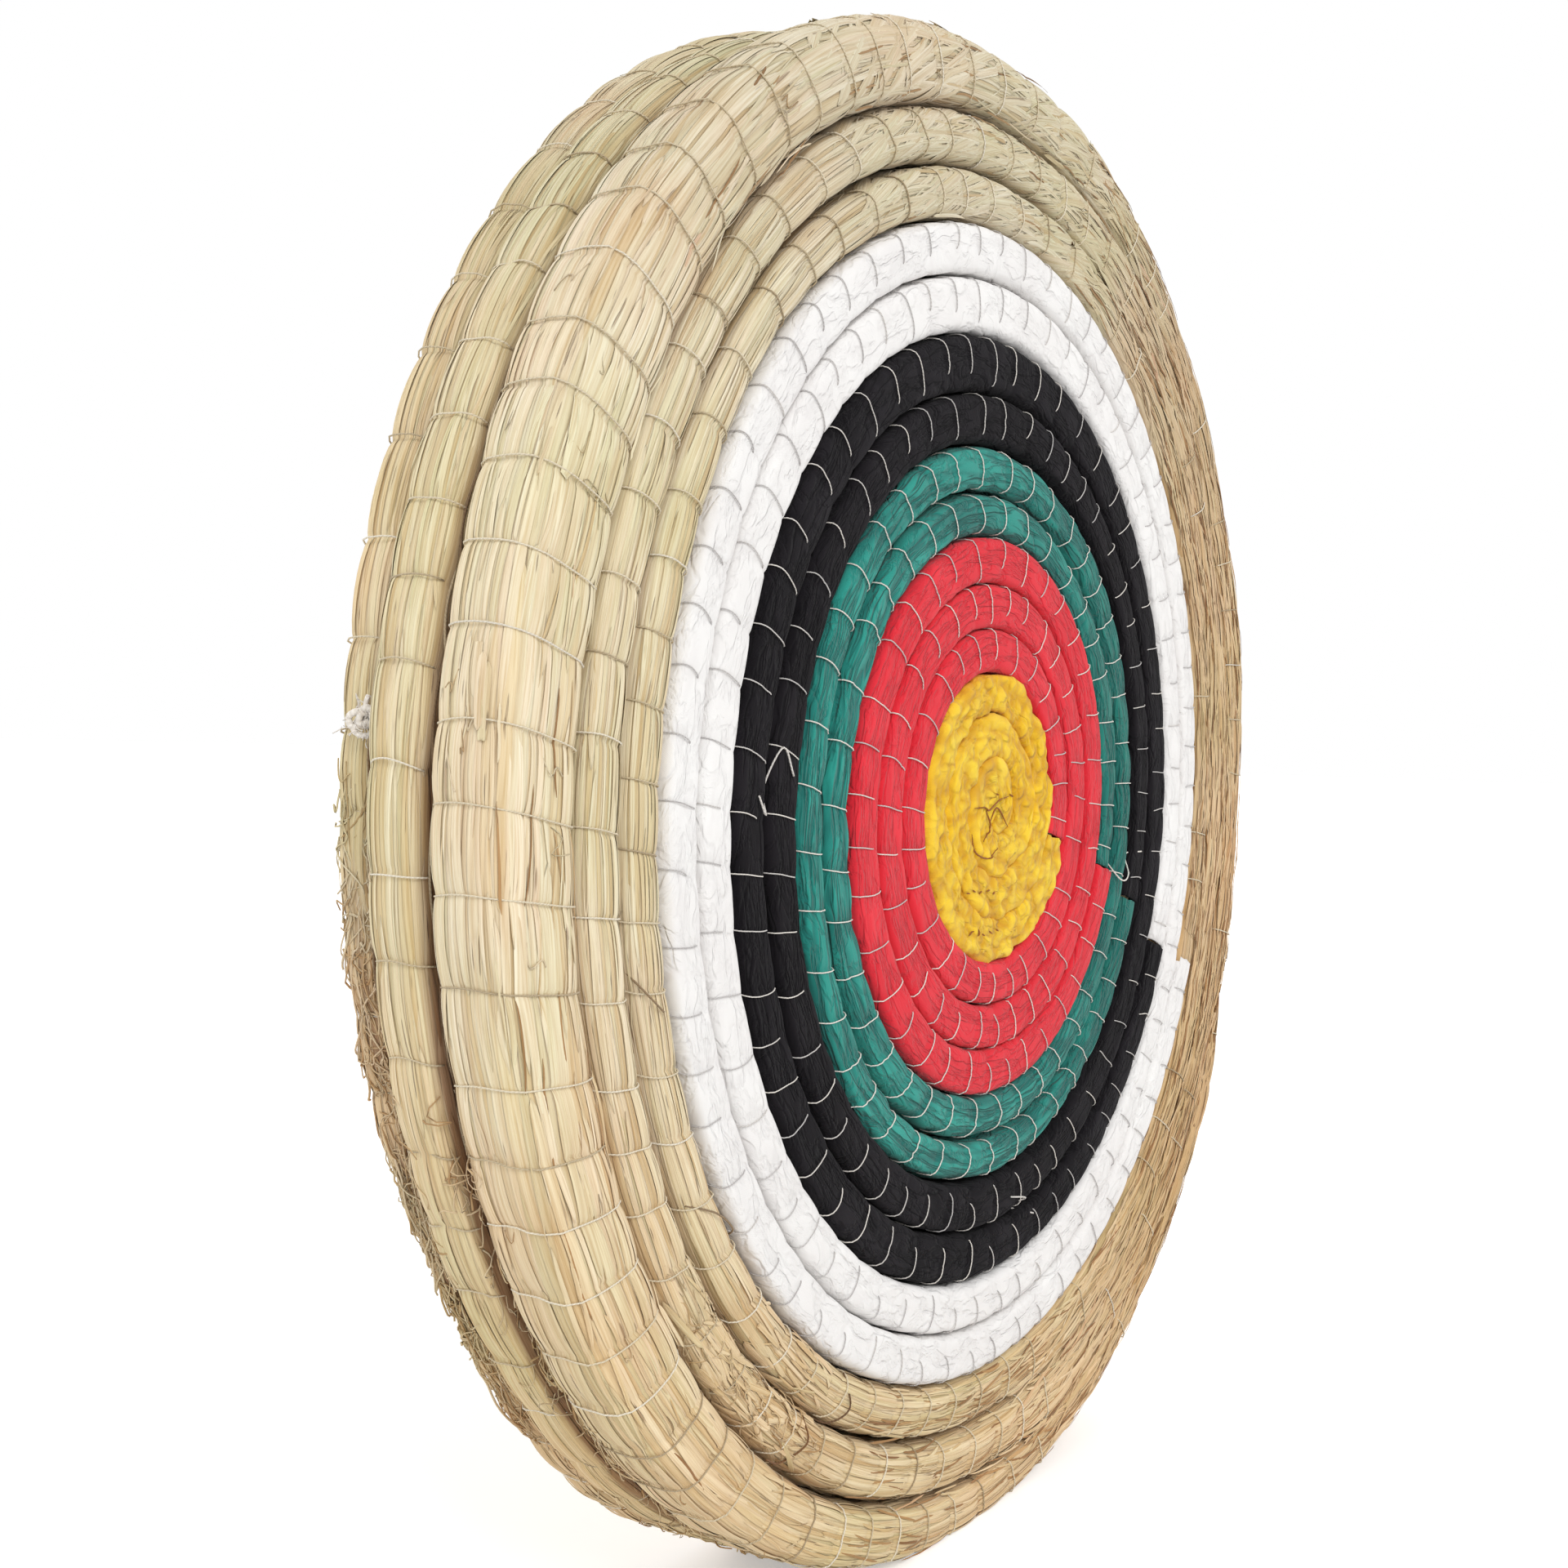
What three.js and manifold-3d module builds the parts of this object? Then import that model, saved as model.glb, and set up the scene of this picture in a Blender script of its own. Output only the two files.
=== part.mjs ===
// Archery target boss: three flat coils of straw rope, laced together at the rim.
// The front coil carries five cloth wraps that make the scoring rings.
// Millimetres, +Z up. The face looks along -Y. The boss stands on its rim at the origin.
import * as THREE from "three";
import { mergeVertices } from "three/addons/utils/BufferGeometryUtils.js";
import Module from "manifold-3d";

// Radii of the rope's outer edge where each stretch of the front coil ends
const gold_radius = 55.5;
const red_radius = 101;
const green_radius = 131;
const black_radius = 166;
const white_radius = 198;
const bare_radius = 234.5;

// Turns of the rope in each stretch, and the tight start in the middle before them
const centre_turns = 0.3;
const gold_turns = 3;
const red_turns = 3;
const green_turns = 2;
const black_turns = 2;
const white_turns = 2;
const bare_turns = 2;
const sewn_turns = 2;
const gold_rope_width = 14.5;

// The fat last turn of the front and middle coils, which swells, slims and then tapers to its tail
const rim_rope_width = 19.5;
const rim_end_width = 11.5;
const rim_rope_swell = 21;
const tail_width = 4;
const tail_depth = 8;

// Back and middle coils. Their even turns end at the front's radius
const back_turns = 12.75;
const back_rope_width = 18;
const back_rim_width = 19;
const back_rim_end_width = 15;
const back_rim_swell = 13;
const back_low_swell = 7.5;
const middle_rope_width = 18;

// Depth of each coil from front to back, and how far the fat rim turn stands out of the face
const front_depth = 23;
const middle_depth = 20;
const back_depth = 20;
const rim_crest = 3;

// Cloth, thread and the room between pieces
const cloth_thickness = 1.2;
const cloth_gap = 0.4;
const seam_gap = 0.5;
const rope_gap = 0.5;
const layer_gap = 0.3;
const thread_diameter = 1;
const thread_gap = 0.35;
const lacing_diameter = 1.6;
const knot_diameter = 7;

// The hand-laid coil is a little taller than wide, and its outer rings sit high
const oval_share = 0.0125;
const centre_rise = 4;

// Degrees counter-clockwise from +X, seen from the front
const seam_angle = -18;
const gold_end_angle = -14;
const red_end_angle = -15;
const green_end_angle = -18;
const black_end_angle = -22;
const white_end_angle = -21;
const level_angle = 7.5;
const knot_angle = 176;

// Shares of a rope's own size, and of a turn
const flat_share = 0.5;
const swell_middle_share = 0.535;
const swell_reach_share = 0.35;
const back_swell_middle_share = 0.43;
const back_swell_reach_share = 0.33;
const back_low_middle_share = 0.715;
const back_low_reach_share = 0.09;
const taper_start_share = 0.95;
const taper_end_share = 1.06;
const tail_lean_share = 0.5;
const knot_lean_share = 0.25;
const floor_cut_share = 0.075;

const steps = 24;
const coarse_steps = 12;
const turn = 360;

const radians = THREE.MathUtils.degToRad;
const smooth = (x) => THREE.MathUtils.smoothstep(x, 0, 1);
const mix = THREE.MathUtils.lerp;

// A coil is described by its turns, counted so that whole numbers fall on the seam angle.
// edge(turns) is the rope's outer edge there, and the rope's inner edge is the edge one turn before.
const gold_end = gold_turns;
const red_end = gold_end + red_turns;
const green_end = red_end + green_turns;
const black_end = green_end + black_turns;
const white_end = black_end + white_turns;
const bare_end = white_end + bare_turns;

const front_knots = [
  [gold_end, gold_radius],
  [red_end, red_radius],
  [green_end, green_radius],
  [black_end, black_radius],
  [white_end, white_radius],
  [bare_end, bare_radius],
];

// A rim rope: its width at the start and end of its turn, and where it swells and by how much
const front_rim = {
  width: rim_rope_width,
  end_width: rim_end_width,
  swells: [{ extra: rim_rope_swell, middle: swell_middle_share, reach: swell_reach_share }],
};
const back_rim = {
  width: back_rim_width,
  end_width: back_rim_end_width,
  swells: [
    { extra: back_rim_swell, middle: back_swell_middle_share, reach: back_swell_reach_share },
    { extra: back_low_swell, middle: back_low_middle_share, reach: back_low_reach_share },
  ],
};

function bump(swell, share) {
  const away = Math.min(Math.abs(share - swell.middle) / swell.reach, 1);
  return Math.cos((away * Math.PI) / 2) ** 2;
}

function taper(share) {
  return smooth((share - taper_start_share) / (taper_end_share - taper_start_share));
}

function front_edge(turns) {
  if (turns <= gold_end) return gold_radius - gold_rope_width * (gold_end - turns);
  if (turns > bare_end) {
    return front_edge(turns - 1) + rim_width(front_rim, turns - bare_end);
  }
  const next = front_knots.findIndex(([end]) => turns <= end);
  const [from, inner] = front_knots[next - 1];
  const [to, outer] = front_knots[next];
  return mix(inner, outer, (turns - from) / (to - from));
}

function rim_width(rim, share) {
  const extra = rim.swells.reduce((sum, swell) => sum + swell.extra * bump(swell, share), 0);
  const full = mix(rim.width, rim.end_width, share) + extra;
  return mix(full, tail_width, taper(share));
}

// The edge of a coil of even turns that ends in a fat one
function even_edge(radius, width, last, rim) {
  const edge = (turns) => {
    if (turns <= last) return radius - width * (last - turns);
    return edge(turns - 1) + rim_width(rim, turns - last);
  };
  return edge;
}

const back_last = Math.ceil(back_turns);

const front_coil = {
  edge: front_edge,
  rim: front_rim,
  start: -centre_turns,
  last: bare_end,
  coarse_end: gold_end,
  back: front_depth,
  depth: front_depth,
  crest: rim_crest,
};
const middle_coil = {
  edge: even_edge(bare_radius, middle_rope_width, bare_end, front_rim),
  rim: front_rim,
  start: bare_end,
  last: bare_end,
  coarse_end: 0,
  back: front_depth + layer_gap + middle_depth,
  depth: middle_depth,
  crest: 0,
};
const back_coil = {
  edge: even_edge(bare_radius, back_rope_width, back_last, back_rim),
  rim: back_rim,
  start: back_last - back_turns,
  last: back_last,
  coarse_end: gold_end,
  back: front_depth + layer_gap + middle_depth + layer_gap + back_depth,
  depth: back_depth,
  crest: 0,
};

// A point of the coils' plane at a radius and an angle in radians
function place(radius, angle) {
  const grown = smooth((radius - red_radius) / (white_radius - red_radius));
  const x = radius * Math.cos(angle) * (1 - oval_share * grown);
  const z = radius * Math.sin(angle) * (1 + oval_share * grown) + centre_rise * grown;
  return new THREE.Vector2(x, z);
}

function angle_at(turns) {
  return radians(seam_angle + turn * turns);
}

// Where the rope of a coil lies after so many turns: its middle, the way out, and its half sizes
function rope_at(coil, turns) {
  const angle = angle_at(turns);
  const inner = place(Math.max(coil.edge(turns - 1), rope_gap / 2), angle);
  const outer = place(coil.edge(turns), angle);
  const out = outer.clone().sub(inner);
  const half_width = out.length() / 2 - rope_gap / 2;
  const share = Math.max(turns - coil.last, 0);
  const full = coil.depth + coil.crest * bump(coil.rim.swells[0], share);
  const depth = mix(full, Math.min(tail_depth, full), taper(share));
  const lean = (full - depth) * taper(share) * tail_lean_share;
  return {
    middle: inner.clone().add(outer).divideScalar(2),
    out: out.normalize(),
    half_width,
    half_depth: depth / 2,
    y: coil.back - depth / 2 - lean,
  };
}

// Six corners of a rope's section, with flats to the front and back, each side moved in by inset
function section(half_width, half_depth, inset) {
  const slope = (1 - flat_share) * half_width;
  const side = Math.hypot(half_depth, slope);
  const point = half_width - (inset * side) / half_depth;
  const depth = half_depth - inset;
  const corner = point - (slope * depth) / half_depth;
  return [
    [point, 0],
    [corner, depth],
    [-corner, depth],
    [-point, 0],
    [-corner, -depth],
    [corner, -depth],
  ];
}

function ring_of(rope, corners) {
  return corners.map(([across, deep]) => {
    const at = rope.out.clone().multiplyScalar(across).add(rope.middle);
    return new THREE.Vector3(at.x, rope.y + deep, at.y);
  });
}

// The turns at which a coil has its sections, so that neighbouring turns line up
function grid(coil, end) {
  const shift = (level_angle - seam_angle) / (turn / steps);
  const first = Math.ceil(coil.start * steps - shift);
  const list = [];
  for (let i = first; (i + shift) / steps <= end; i++) {
    const turns = (i + shift) / steps;
    const coarse = turns < coil.coarse_end;
    if (!coarse || (i - first) % (steps / coarse_steps) === 0) list.push(turns);
  }
  return list;
}

// A coil's section at any number of turns, straight between the two sections of the grid beside it
function ring_between(coil, list, turns, inset) {
  const after = Math.min(Math.max(list.findIndex((value) => value > turns), 1), list.length - 1);
  const [a, b] = [list[after - 1], list[after]];
  const [from, to] = [a, b].map((value) => {
    const rope = rope_at(coil, value);
    return ring_of(rope, section(rope.half_width, rope.half_depth, inset));
  });
  return from.map((point, i) => point.clone().lerp(to[i], (turns - a) / (b - a)));
}

function geometry_of(points, faces) {
  const geometry = new THREE.BufferGeometry();
  geometry.setAttribute("position", new THREE.Float32BufferAttribute(points.flatMap((p) => p.toArray()), 3));
  geometry.setIndex(faces.flat());
  return geometry;
}

function wall(faces, from, to, sides, flip) {
  for (let i = 0; i < sides; i++) {
    const j = (i + 1) % sides;
    const quad = [from + i, from + j, to + j, to + i];
    if (flip) quad.reverse();
    faces.push([quad[0], quad[1], quad[2]], [quad[0], quad[2], quad[3]]);
  }
}

// One closed tube through its sections
function tube(rings) {
  const sides = rings[0].length;
  const faces = [];
  for (let k = 0; k + 1 < rings.length; k++) wall(faces, k * sides, (k + 1) * sides, sides, false);
  const last = (rings.length - 1) * sides;
  for (let i = 1; i + 1 < sides; i++) {
    faces.push([0, i + 1, i], [last, last + i, last + i + 1]);
  }
  return facing_out(geometry_of(rings.flat(), faces));
}

// A sleeve between outer and inner sections, open at both ends
function sleeve(outer, inner) {
  const sides = outer[0].length;
  const count = outer.length;
  const faces = [];
  for (let k = 0; k + 1 < count; k++) {
    wall(faces, k * sides, (k + 1) * sides, sides, false);
    wall(faces, (count + k) * sides, (count + k + 1) * sides, sides, true);
  }
  wall(faces, count * sides, 0, sides, false);
  wall(faces, (2 * count - 1) * sides, (count - 1) * sides, sides, true);
  return facing_out(geometry_of([...outer.flat(), ...inner.flat()], faces));
}

function facing_out(geometry) {
  const position = geometry.getAttribute("position");
  const index = geometry.getIndex();
  const [a, b, c] = [new THREE.Vector3(), new THREE.Vector3(), new THREE.Vector3()];
  let volume = 0;
  for (let i = 0; i < index.count; i += 3) {
    a.fromBufferAttribute(position, index.getX(i));
    b.fromBufferAttribute(position, index.getX(i + 1));
    c.fromBufferAttribute(position, index.getX(i + 2));
    volume += a.dot(b.cross(c));
  }
  if (volume < 0) index.array.reverse();
  return geometry;
}

// The least distance between points of a wound tube that are over half a turn apart
function least_gap(rings, per_turn) {
  const halves = rings.slice(1).map((ring, k) => ring.map((p, i) => p.clone().lerp(rings[k][i], 1 / 2)));
  const rows = rings.flatMap((ring, k) => (halves[k] ? [ring, halves[k]] : [ring]));
  let least = Infinity;
  for (let a = 0; a < rows.length; a++) {
    for (let b = a + per_turn; b < rows.length; b++) {
      for (const p of rows[a]) {
        for (const q of rows[b]) least = Math.min(least, p.distanceToSquared(q));
      }
    }
  }
  return Math.sqrt(least);
}

function say_gap(name, rings, per_turn) {
  console.log(`${name}: least gap to itself ${least_gap(rings, per_turn).toFixed(2)} mm`);
}

const wasm = await Module();
wasm.setup();

function solid_of(geometry) {
  const plain = geometry.clone();
  plain.deleteAttribute("normal");
  plain.deleteAttribute("uv");
  const merged = mergeVertices(plain);
  const vertProperties = new Float32Array(merged.getAttribute("position").array);
  const triVerts = new Uint32Array(merged.getIndex().array);
  return new wasm.Manifold(new wasm.Mesh({ numProp: 3, vertProperties, triVerts }));
}

function geometry_from(solid) {
  const mesh = solid.getMesh();
  const geometry = new THREE.BufferGeometry();
  geometry.setAttribute("position", new THREE.BufferAttribute(mesh.vertProperties, 3));
  geometry.setIndex(new THREE.BufferAttribute(mesh.triVerts, 1));
  return geometry;
}

const cord_end = (coil) => coil.last + taper_end_share;

// The straw rope of the front coil, one length, thinner where cloth covers it
function front_rope() {
  const list = grid(front_coil, cord_end(front_coil));
  const covered_to = white_end + (white_end_angle - seam_angle) / turn;
  const rings = list.map((turns) => {
    const rope = rope_at(front_coil, turns);
    const inset = turns < covered_to + 1 / steps ? cloth_thickness + cloth_gap : 0;
    return ring_of(rope, section(rope.half_width, rope.half_depth, inset));
  });
  say_gap("front_rope", rings, coarse_steps);
  return tube(rings);
}

function wrap(name, from, to) {
  const list = grid(front_coil, cord_end(front_coil));
  const inside = list.filter((turns) => turns > from && turns < to);
  const stops = [from, ...inside, to];
  const outer = stops.map((turns) => ring_between(front_coil, list, turns, 0));
  const inner = stops.map((turns) => ring_between(front_coil, list, turns, cloth_thickness));
  say_gap(name, outer, coarse_steps);
  return sleeve(outer, inner);
}

// The turns at which a wrap ends, and at which the next begins across the seam gap
function wrap_end(whole, degrees) {
  return whole + (degrees - seam_angle) / turn;
}

function after_gap(end) {
  return end + seam_gap / (2 * Math.PI * front_edge(end - 1));
}

function wound_rope(name, coil) {
  const list = grid(coil, cord_end(coil));
  const rings = list.map((turns) => {
    const rope = rope_at(coil, turns);
    return ring_of(rope, section(rope.half_width, rope.half_depth, 0));
  });
  say_gap(name, rings, coarse_steps);
  return tube(rings);
}

// The hidden inner turns of the middle coil, one flat snail that the outer turn lies round
function middle_inner_turns() {
  const list = grid(middle_coil, middle_coil.start + 1);
  const points = list.map((turns) => place(middle_coil.edge(turns - 1) - rope_gap / 2, angle_at(turns)));
  const outline = new THREE.Shape(points);
  const geometry = new THREE.ExtrudeGeometry(outline, { depth: middle_coil.depth, bevelEnabled: false });
  geometry.rotateX(Math.PI / 2);
  geometry.translate(0, middle_coil.back, 0);
  return geometry;
}

// A thread's square section, with its corners along the coil's radius and depth
function thread_ring(at, out, y, radius) {
  const corners = [[radius, 0], [0, radius], [-radius, 0], [0, -radius]];
  return corners.map(([across, deep]) => {
    const spot = out.clone().multiplyScalar(across).add(at);
    return new THREE.Vector3(spot.x, y + deep, spot.y);
  });
}

// How far from the ropes' middle a thread lies when it rests in the groove between two of them
function groove_height(rope) {
  const slope = (1 - flat_share) * rope.half_width;
  const side = Math.hypot(rope.half_depth, slope);
  const room = thread_diameter / 2 + thread_gap;
  return (room * side - (rope_gap / 2) * rope.half_depth) / slope;
}

// The running thread of a coil, in the outermost grooves between its even turns
function groove_thread(name, coil, facing) {
  const to = coil.last - 1;
  const list = grid(coil, to).filter((turns) => turns >= to - sewn_turns);
  const rings = list.map((turns) => {
    const ropes = [rope_at(coil, turns), rope_at(coil, turns + 1)];
    const height = Math.max(...ropes.map(groove_height));
    const at = place(coil.edge(turns), angle_at(turns));
    return thread_ring(at, ropes[0].out, ropes[0].y + facing * height, thread_diameter / 2);
  });
  say_gap(name, rings, coarse_steps);
  return tube(rings);
}

// The lacing that lies in the crease between the rims of two coils, open where the tails lie
function lacing(front, back) {
  const list = grid(front, front.last + 1).filter((turns) => turns > front.last);
  const rings = list.map((turns) => {
    const share = turns - front.last;
    const ropes = [rope_at(front, turns), rope_at(back, back.last + share)];
    const reaches = ropes.map(({ middle, out, half_width }) => middle.dot(out) + half_width * flat_share);
    const reach = Math.max(...reaches);
    const out = ropes[0].out;
    const at = out.clone().multiplyScalar(reach + lacing_diameter / 2 + thread_gap);
    return thread_ring(at, out, front.back + layer_gap / 2, lacing_diameter / 2);
  });
  return tube(rings);
}

// The knot on the back rim, on the slope that looks outward and a little forward
function rim_knot() {
  const turns = back_coil.last + (knot_angle - seam_angle) / turn;
  const ring = ring_between(back_coil, grid(back_coil, cord_end(back_coil)), turns, 0);
  const [tip, front_corner] = [ring[0], ring[5]];
  const along = new THREE.Vector3(-Math.sin(radians(knot_angle)), 0, Math.cos(radians(knot_angle)));
  const away = along.cross(front_corner.clone().sub(tip)).normalize();
  const radius = knot_diameter / 2;
  const centre = tip.clone().lerp(front_corner, knot_lean_share).addScaledVector(away, radius + thread_gap);
  const geometry = new THREE.IcosahedronGeometry(radius, 1);
  geometry.translate(...centre.toArray());
  return geometry;
}

const straw = { color: 0xd2bf8e, roughness: 0.85, metalness: 0 };
const dark_straw = { color: 0xc4b07c, roughness: 0.88, metalness: 0 };
const cloth = (color) => ({ color, roughness: 0.9, metalness: 0 });
const thread = { color: 0xe6dcc0, roughness: 0.7, metalness: 0 };

const group = new THREE.Group();
const coils = new THREE.Group();
group.add(coils);

function add(name, geometry, look) {
  const mesh = new THREE.Mesh(geometry, new THREE.MeshStandardMaterial(look));
  mesh.name = name;
  coils.add(mesh);
  return mesh;
}

const gold_stop = wrap_end(gold_end, gold_end_angle);
const red_stop = wrap_end(red_end, red_end_angle);
const green_stop = wrap_end(green_end, green_end_angle);
const black_stop = wrap_end(black_end, black_end_angle);
const white_stop = wrap_end(white_end, white_end_angle);
const gold_start = grid(front_coil, cord_end(front_coil))[0];

const standing = [
  add("front_rope", front_rope(), straw),
  add("middle_rope", wound_rope("middle_rope", middle_coil), straw),
  add("back_rope", wound_rope("back_rope", back_coil), dark_straw),
];
add("gold_wrap", wrap("gold_wrap", gold_start, gold_stop), cloth(0xf0c022));
add("red_wrap", wrap("red_wrap", after_gap(gold_stop), red_stop), cloth(0xe0384a));
add("green_wrap", wrap("green_wrap", after_gap(red_stop), green_stop), cloth(0x1d7f6c));
add("black_wrap", wrap("black_wrap", after_gap(green_stop), black_stop), cloth(0x25232a));
add("white_wrap", wrap("white_wrap", after_gap(black_stop), white_stop), cloth(0xf2f1ee));
add("middle_inner_turns", middle_inner_turns(), dark_straw);
add("front_stitching", groove_thread("front_stitching", front_coil, -1), thread);
add("back_stitching", groove_thread("back_stitching", back_coil, 1), thread);
add("front_lacing", lacing(front_coil, middle_coil), thread);
add("back_lacing", lacing(middle_coil, back_coil), thread);
add("rim_knot", rim_knot(), thread);

// The rim is cut level where the boss stands, by a share of the rim rope's depth
const lowest = new THREE.Box3().setFromObject(standing[0]).min.z;
const floor_cut = floor_cut_share * (rim_rope_width + rim_crest);
const level = lowest + floor_cut;
const span = 2 * (bare_radius + rim_rope_width + rim_rope_swell);
for (const mesh of standing) {
  const below = new THREE.BoxGeometry(span, span, span);
  below.translate(0, 0, level - span / 2);
  mesh.geometry = geometry_from(solid_of(mesh.geometry).subtract(solid_of(below)));
}

// The origin is under the middle of the boss, on the floor
const box = new THREE.Box3().setFromObject(coils);
coils.position.set(-(box.min.x + box.max.x) / 2, -(box.min.y + box.max.y) / 2, -level);

export default group;
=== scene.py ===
"""Looks of an archery target boss: three coils of straw rope, five cloth wraps, sewing thread.

The ropes follow the same spirals as the CAD model. Lengths inside the shape code are in
millimetres, in the coils' own plane, and surface() turns them into metres in the shared frame.
"""
import math
import bpy
import numpy as np
from mathutils import Matrix, Vector


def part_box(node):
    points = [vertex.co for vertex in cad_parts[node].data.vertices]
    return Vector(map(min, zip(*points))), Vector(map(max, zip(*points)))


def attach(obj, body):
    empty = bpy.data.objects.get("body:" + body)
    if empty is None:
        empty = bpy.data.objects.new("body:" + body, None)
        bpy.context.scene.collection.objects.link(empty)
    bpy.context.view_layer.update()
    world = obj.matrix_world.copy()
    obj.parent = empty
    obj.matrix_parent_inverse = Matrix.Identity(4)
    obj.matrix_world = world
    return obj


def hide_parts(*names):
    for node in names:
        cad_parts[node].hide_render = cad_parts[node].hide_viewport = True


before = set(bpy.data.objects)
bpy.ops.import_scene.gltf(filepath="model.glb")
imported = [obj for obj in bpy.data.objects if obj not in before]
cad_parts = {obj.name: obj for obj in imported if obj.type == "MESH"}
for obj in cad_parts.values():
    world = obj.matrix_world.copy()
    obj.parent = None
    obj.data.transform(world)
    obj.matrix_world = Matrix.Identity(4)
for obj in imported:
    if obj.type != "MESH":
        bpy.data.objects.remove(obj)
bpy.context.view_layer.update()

MM = 0.001
SEED = 11

# Camera, from the outline of the rings: the middle of the face seen from the left
LENS = 45.86
SENSOR = 36.0
YAW, PITCH, ROLL = 56.94, 1.10, 1.57
FOCAL_PX, FRAME_PX = 2446.0, 1920.0
FACE_PX = (1222.6, 987.4)
FACE_AWAY = 678.1

# The coils, as in the CAD model
SEAM = -18.0
ROPE_GAP = 0.5
RING_TURNS = [3, 6, 8, 10, 12, 14]
RING_RADII = [55.5, 101.0, 131.0, 166.0, 198.0, 234.5]
GOLD_ROPE = 14.5
OVAL = 0.0125
RISE = 4.0
TAIL_WIDTH, TAIL_DEPTH = 4.0, 8.0
TAIL_FROM, TAIL_RUN, RIM_END = 0.95, 0.11, 1.06
FRONT_BACK, MIDDLE_BACK, BACK_BACK = 23.0, 43.3, 63.6
FRONT_DEPTH, THIN_DEPTH, CREST = 23.0, 20.0, 3.0
THIN_ROPE = 18.0
TABLE_STEPS = 720
LEVEL_ANGLE = 7.5
KNOT_ANGLE = 176.0
# Rims: width at the start and end of the turn, and of each swell the extra width, middle and reach
FRONT_RIM = (19.5, 11.5, [(21.0, 0.535, 0.35)])
BACK_RIM = (19.0, 15.0, [(13.0, 0.43, 0.33), (7.5, 0.715, 0.09)])


def smooth(x):
    """A soft step from 0 to 1."""
    x = np.clip(x, 0.0, 1.0)
    return x * x * (3.0 - 2.0 * x)


def bump(swell, share):
    """1 at the middle of a swell, and 0 beyond its reach."""
    away = np.minimum(np.abs(share - swell[1]) / swell[2], 1.0)
    return np.cos(away * np.pi / 2) ** 2


def taper(share):
    """How far the rope has thinned to its tail at a share of the rim's turn."""
    return smooth((share - TAIL_FROM) / TAIL_RUN)


def rim_width(rim, share):
    full = rim[0] + (rim[1] - rim[0]) * share
    full = full + sum(swell[0] * bump(swell, share) for swell in rim[2])
    return full + (TAIL_WIDTH - full) * taper(share)


def wound_edge(even, last, rim):
    """Outer edge of a coil: even turns up to last, then one fat turn and its tail."""

    def grown(inner):
        return lambda u: np.where(u > last, inner(u - 1) + rim_width(rim, u - last), even(u))

    return grown(grown(even))


def front_even(u):
    """Outer edge of the front coil's even turns: equal ones in the gold, then as the rings say."""
    rings = np.interp(u, RING_TURNS, RING_RADII)
    return np.where(u <= RING_TURNS[0], RING_RADII[0] - GOLD_ROPE * (RING_TURNS[0] - u), rings)


def even_turns(width, last):
    return lambda u: RING_RADII[-1] - width * (last - u)


class Coil:
    """One rope wound in a flat spiral, and a table of the distances along it."""

    def __init__(self, even, rim, start, last, back, depth, crest):
        self.edge, self.rim, self.start, self.last = wound_edge(even, last, rim), rim, start, last
        self.back, self.depth, self.crest = back, depth, crest
        self.end = last + RIM_END
        self.table_u = np.linspace(start, self.end, int((self.end - start) * TABLE_STEPS))
        mid = rope_at(self, self.table_u)[0]
        step = np.linalg.norm(np.diff(mid, axis=0), axis=1)
        self.table_arc = np.concatenate([[0.0], np.cumsum(step)])
        self.length = self.table_arc[-1]
        self.sewn = None

    def arc(self, u):
        return np.interp(u, self.table_u, self.table_arc)

    def turns(self, arc):
        return np.interp(arc, self.table_arc, self.table_u)


def place(radius, angle):
    """A point of the coils' plane. The outer rings are a little oval and sit higher."""
    grown = smooth((radius - RING_RADII[1]) / (RING_RADII[4] - RING_RADII[1]))
    x = radius * np.cos(angle) * (1 - OVAL * grown)
    z = radius * np.sin(angle) * (1 + OVAL * grown) + RISE * grown
    return np.stack([x, z], axis=-1)


def rope_at(coil, u):
    """Middle of the rope, the way out, its half width and half depth, and its place in depth."""
    angle = np.radians(SEAM + 360.0 * u)
    inner = place(np.maximum(coil.edge(u - 1), ROPE_GAP / 2), angle)
    outer = place(coil.edge(u), angle)
    out = outer - inner
    size = np.linalg.norm(out, axis=-1)
    share = np.maximum(u - coil.last, 0.0)
    full = coil.depth + coil.crest * bump(coil.rim[2][0], share)
    depth = full + (np.minimum(TAIL_DEPTH, full) - full) * taper(share)
    lean = (full - depth) * taper(share) * 0.5
    half_width = size / 2 - ROPE_GAP / 2
    return (inner + outer) / 2, out / size[..., None], half_width, depth / 2, coil.back - depth / 2 - lean


front = Coil(front_even, FRONT_RIM, -0.3, 14, FRONT_BACK, FRONT_DEPTH, CREST)
middle = Coil(even_turns(THIN_ROPE, 14), FRONT_RIM, 14, 14, MIDDLE_BACK, THIN_DEPTH, 0.0)
middle_core = Coil(even_turns(THIN_ROPE, 14), FRONT_RIM, 1.5, 14, MIDDLE_BACK, THIN_DEPTH, 0.0)
back = Coil(even_turns(THIN_ROPE, 13), BACK_RIM, 0.25, 13, BACK_BACK, THIN_DEPTH, 0.0)

# Where each cloth wrap ends, in turns
GOLD_STOP = 3 + (-14 - SEAM) / 360
RED_STOP = 6 + (-15 - SEAM) / 360
GREEN_STOP = 8 + (-18 - SEAM) / 360
BLACK_STOP = 10 + (-22 - SEAM) / 360
WHITE_STOP = 12 + (-21 - SEAM) / 360


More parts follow.
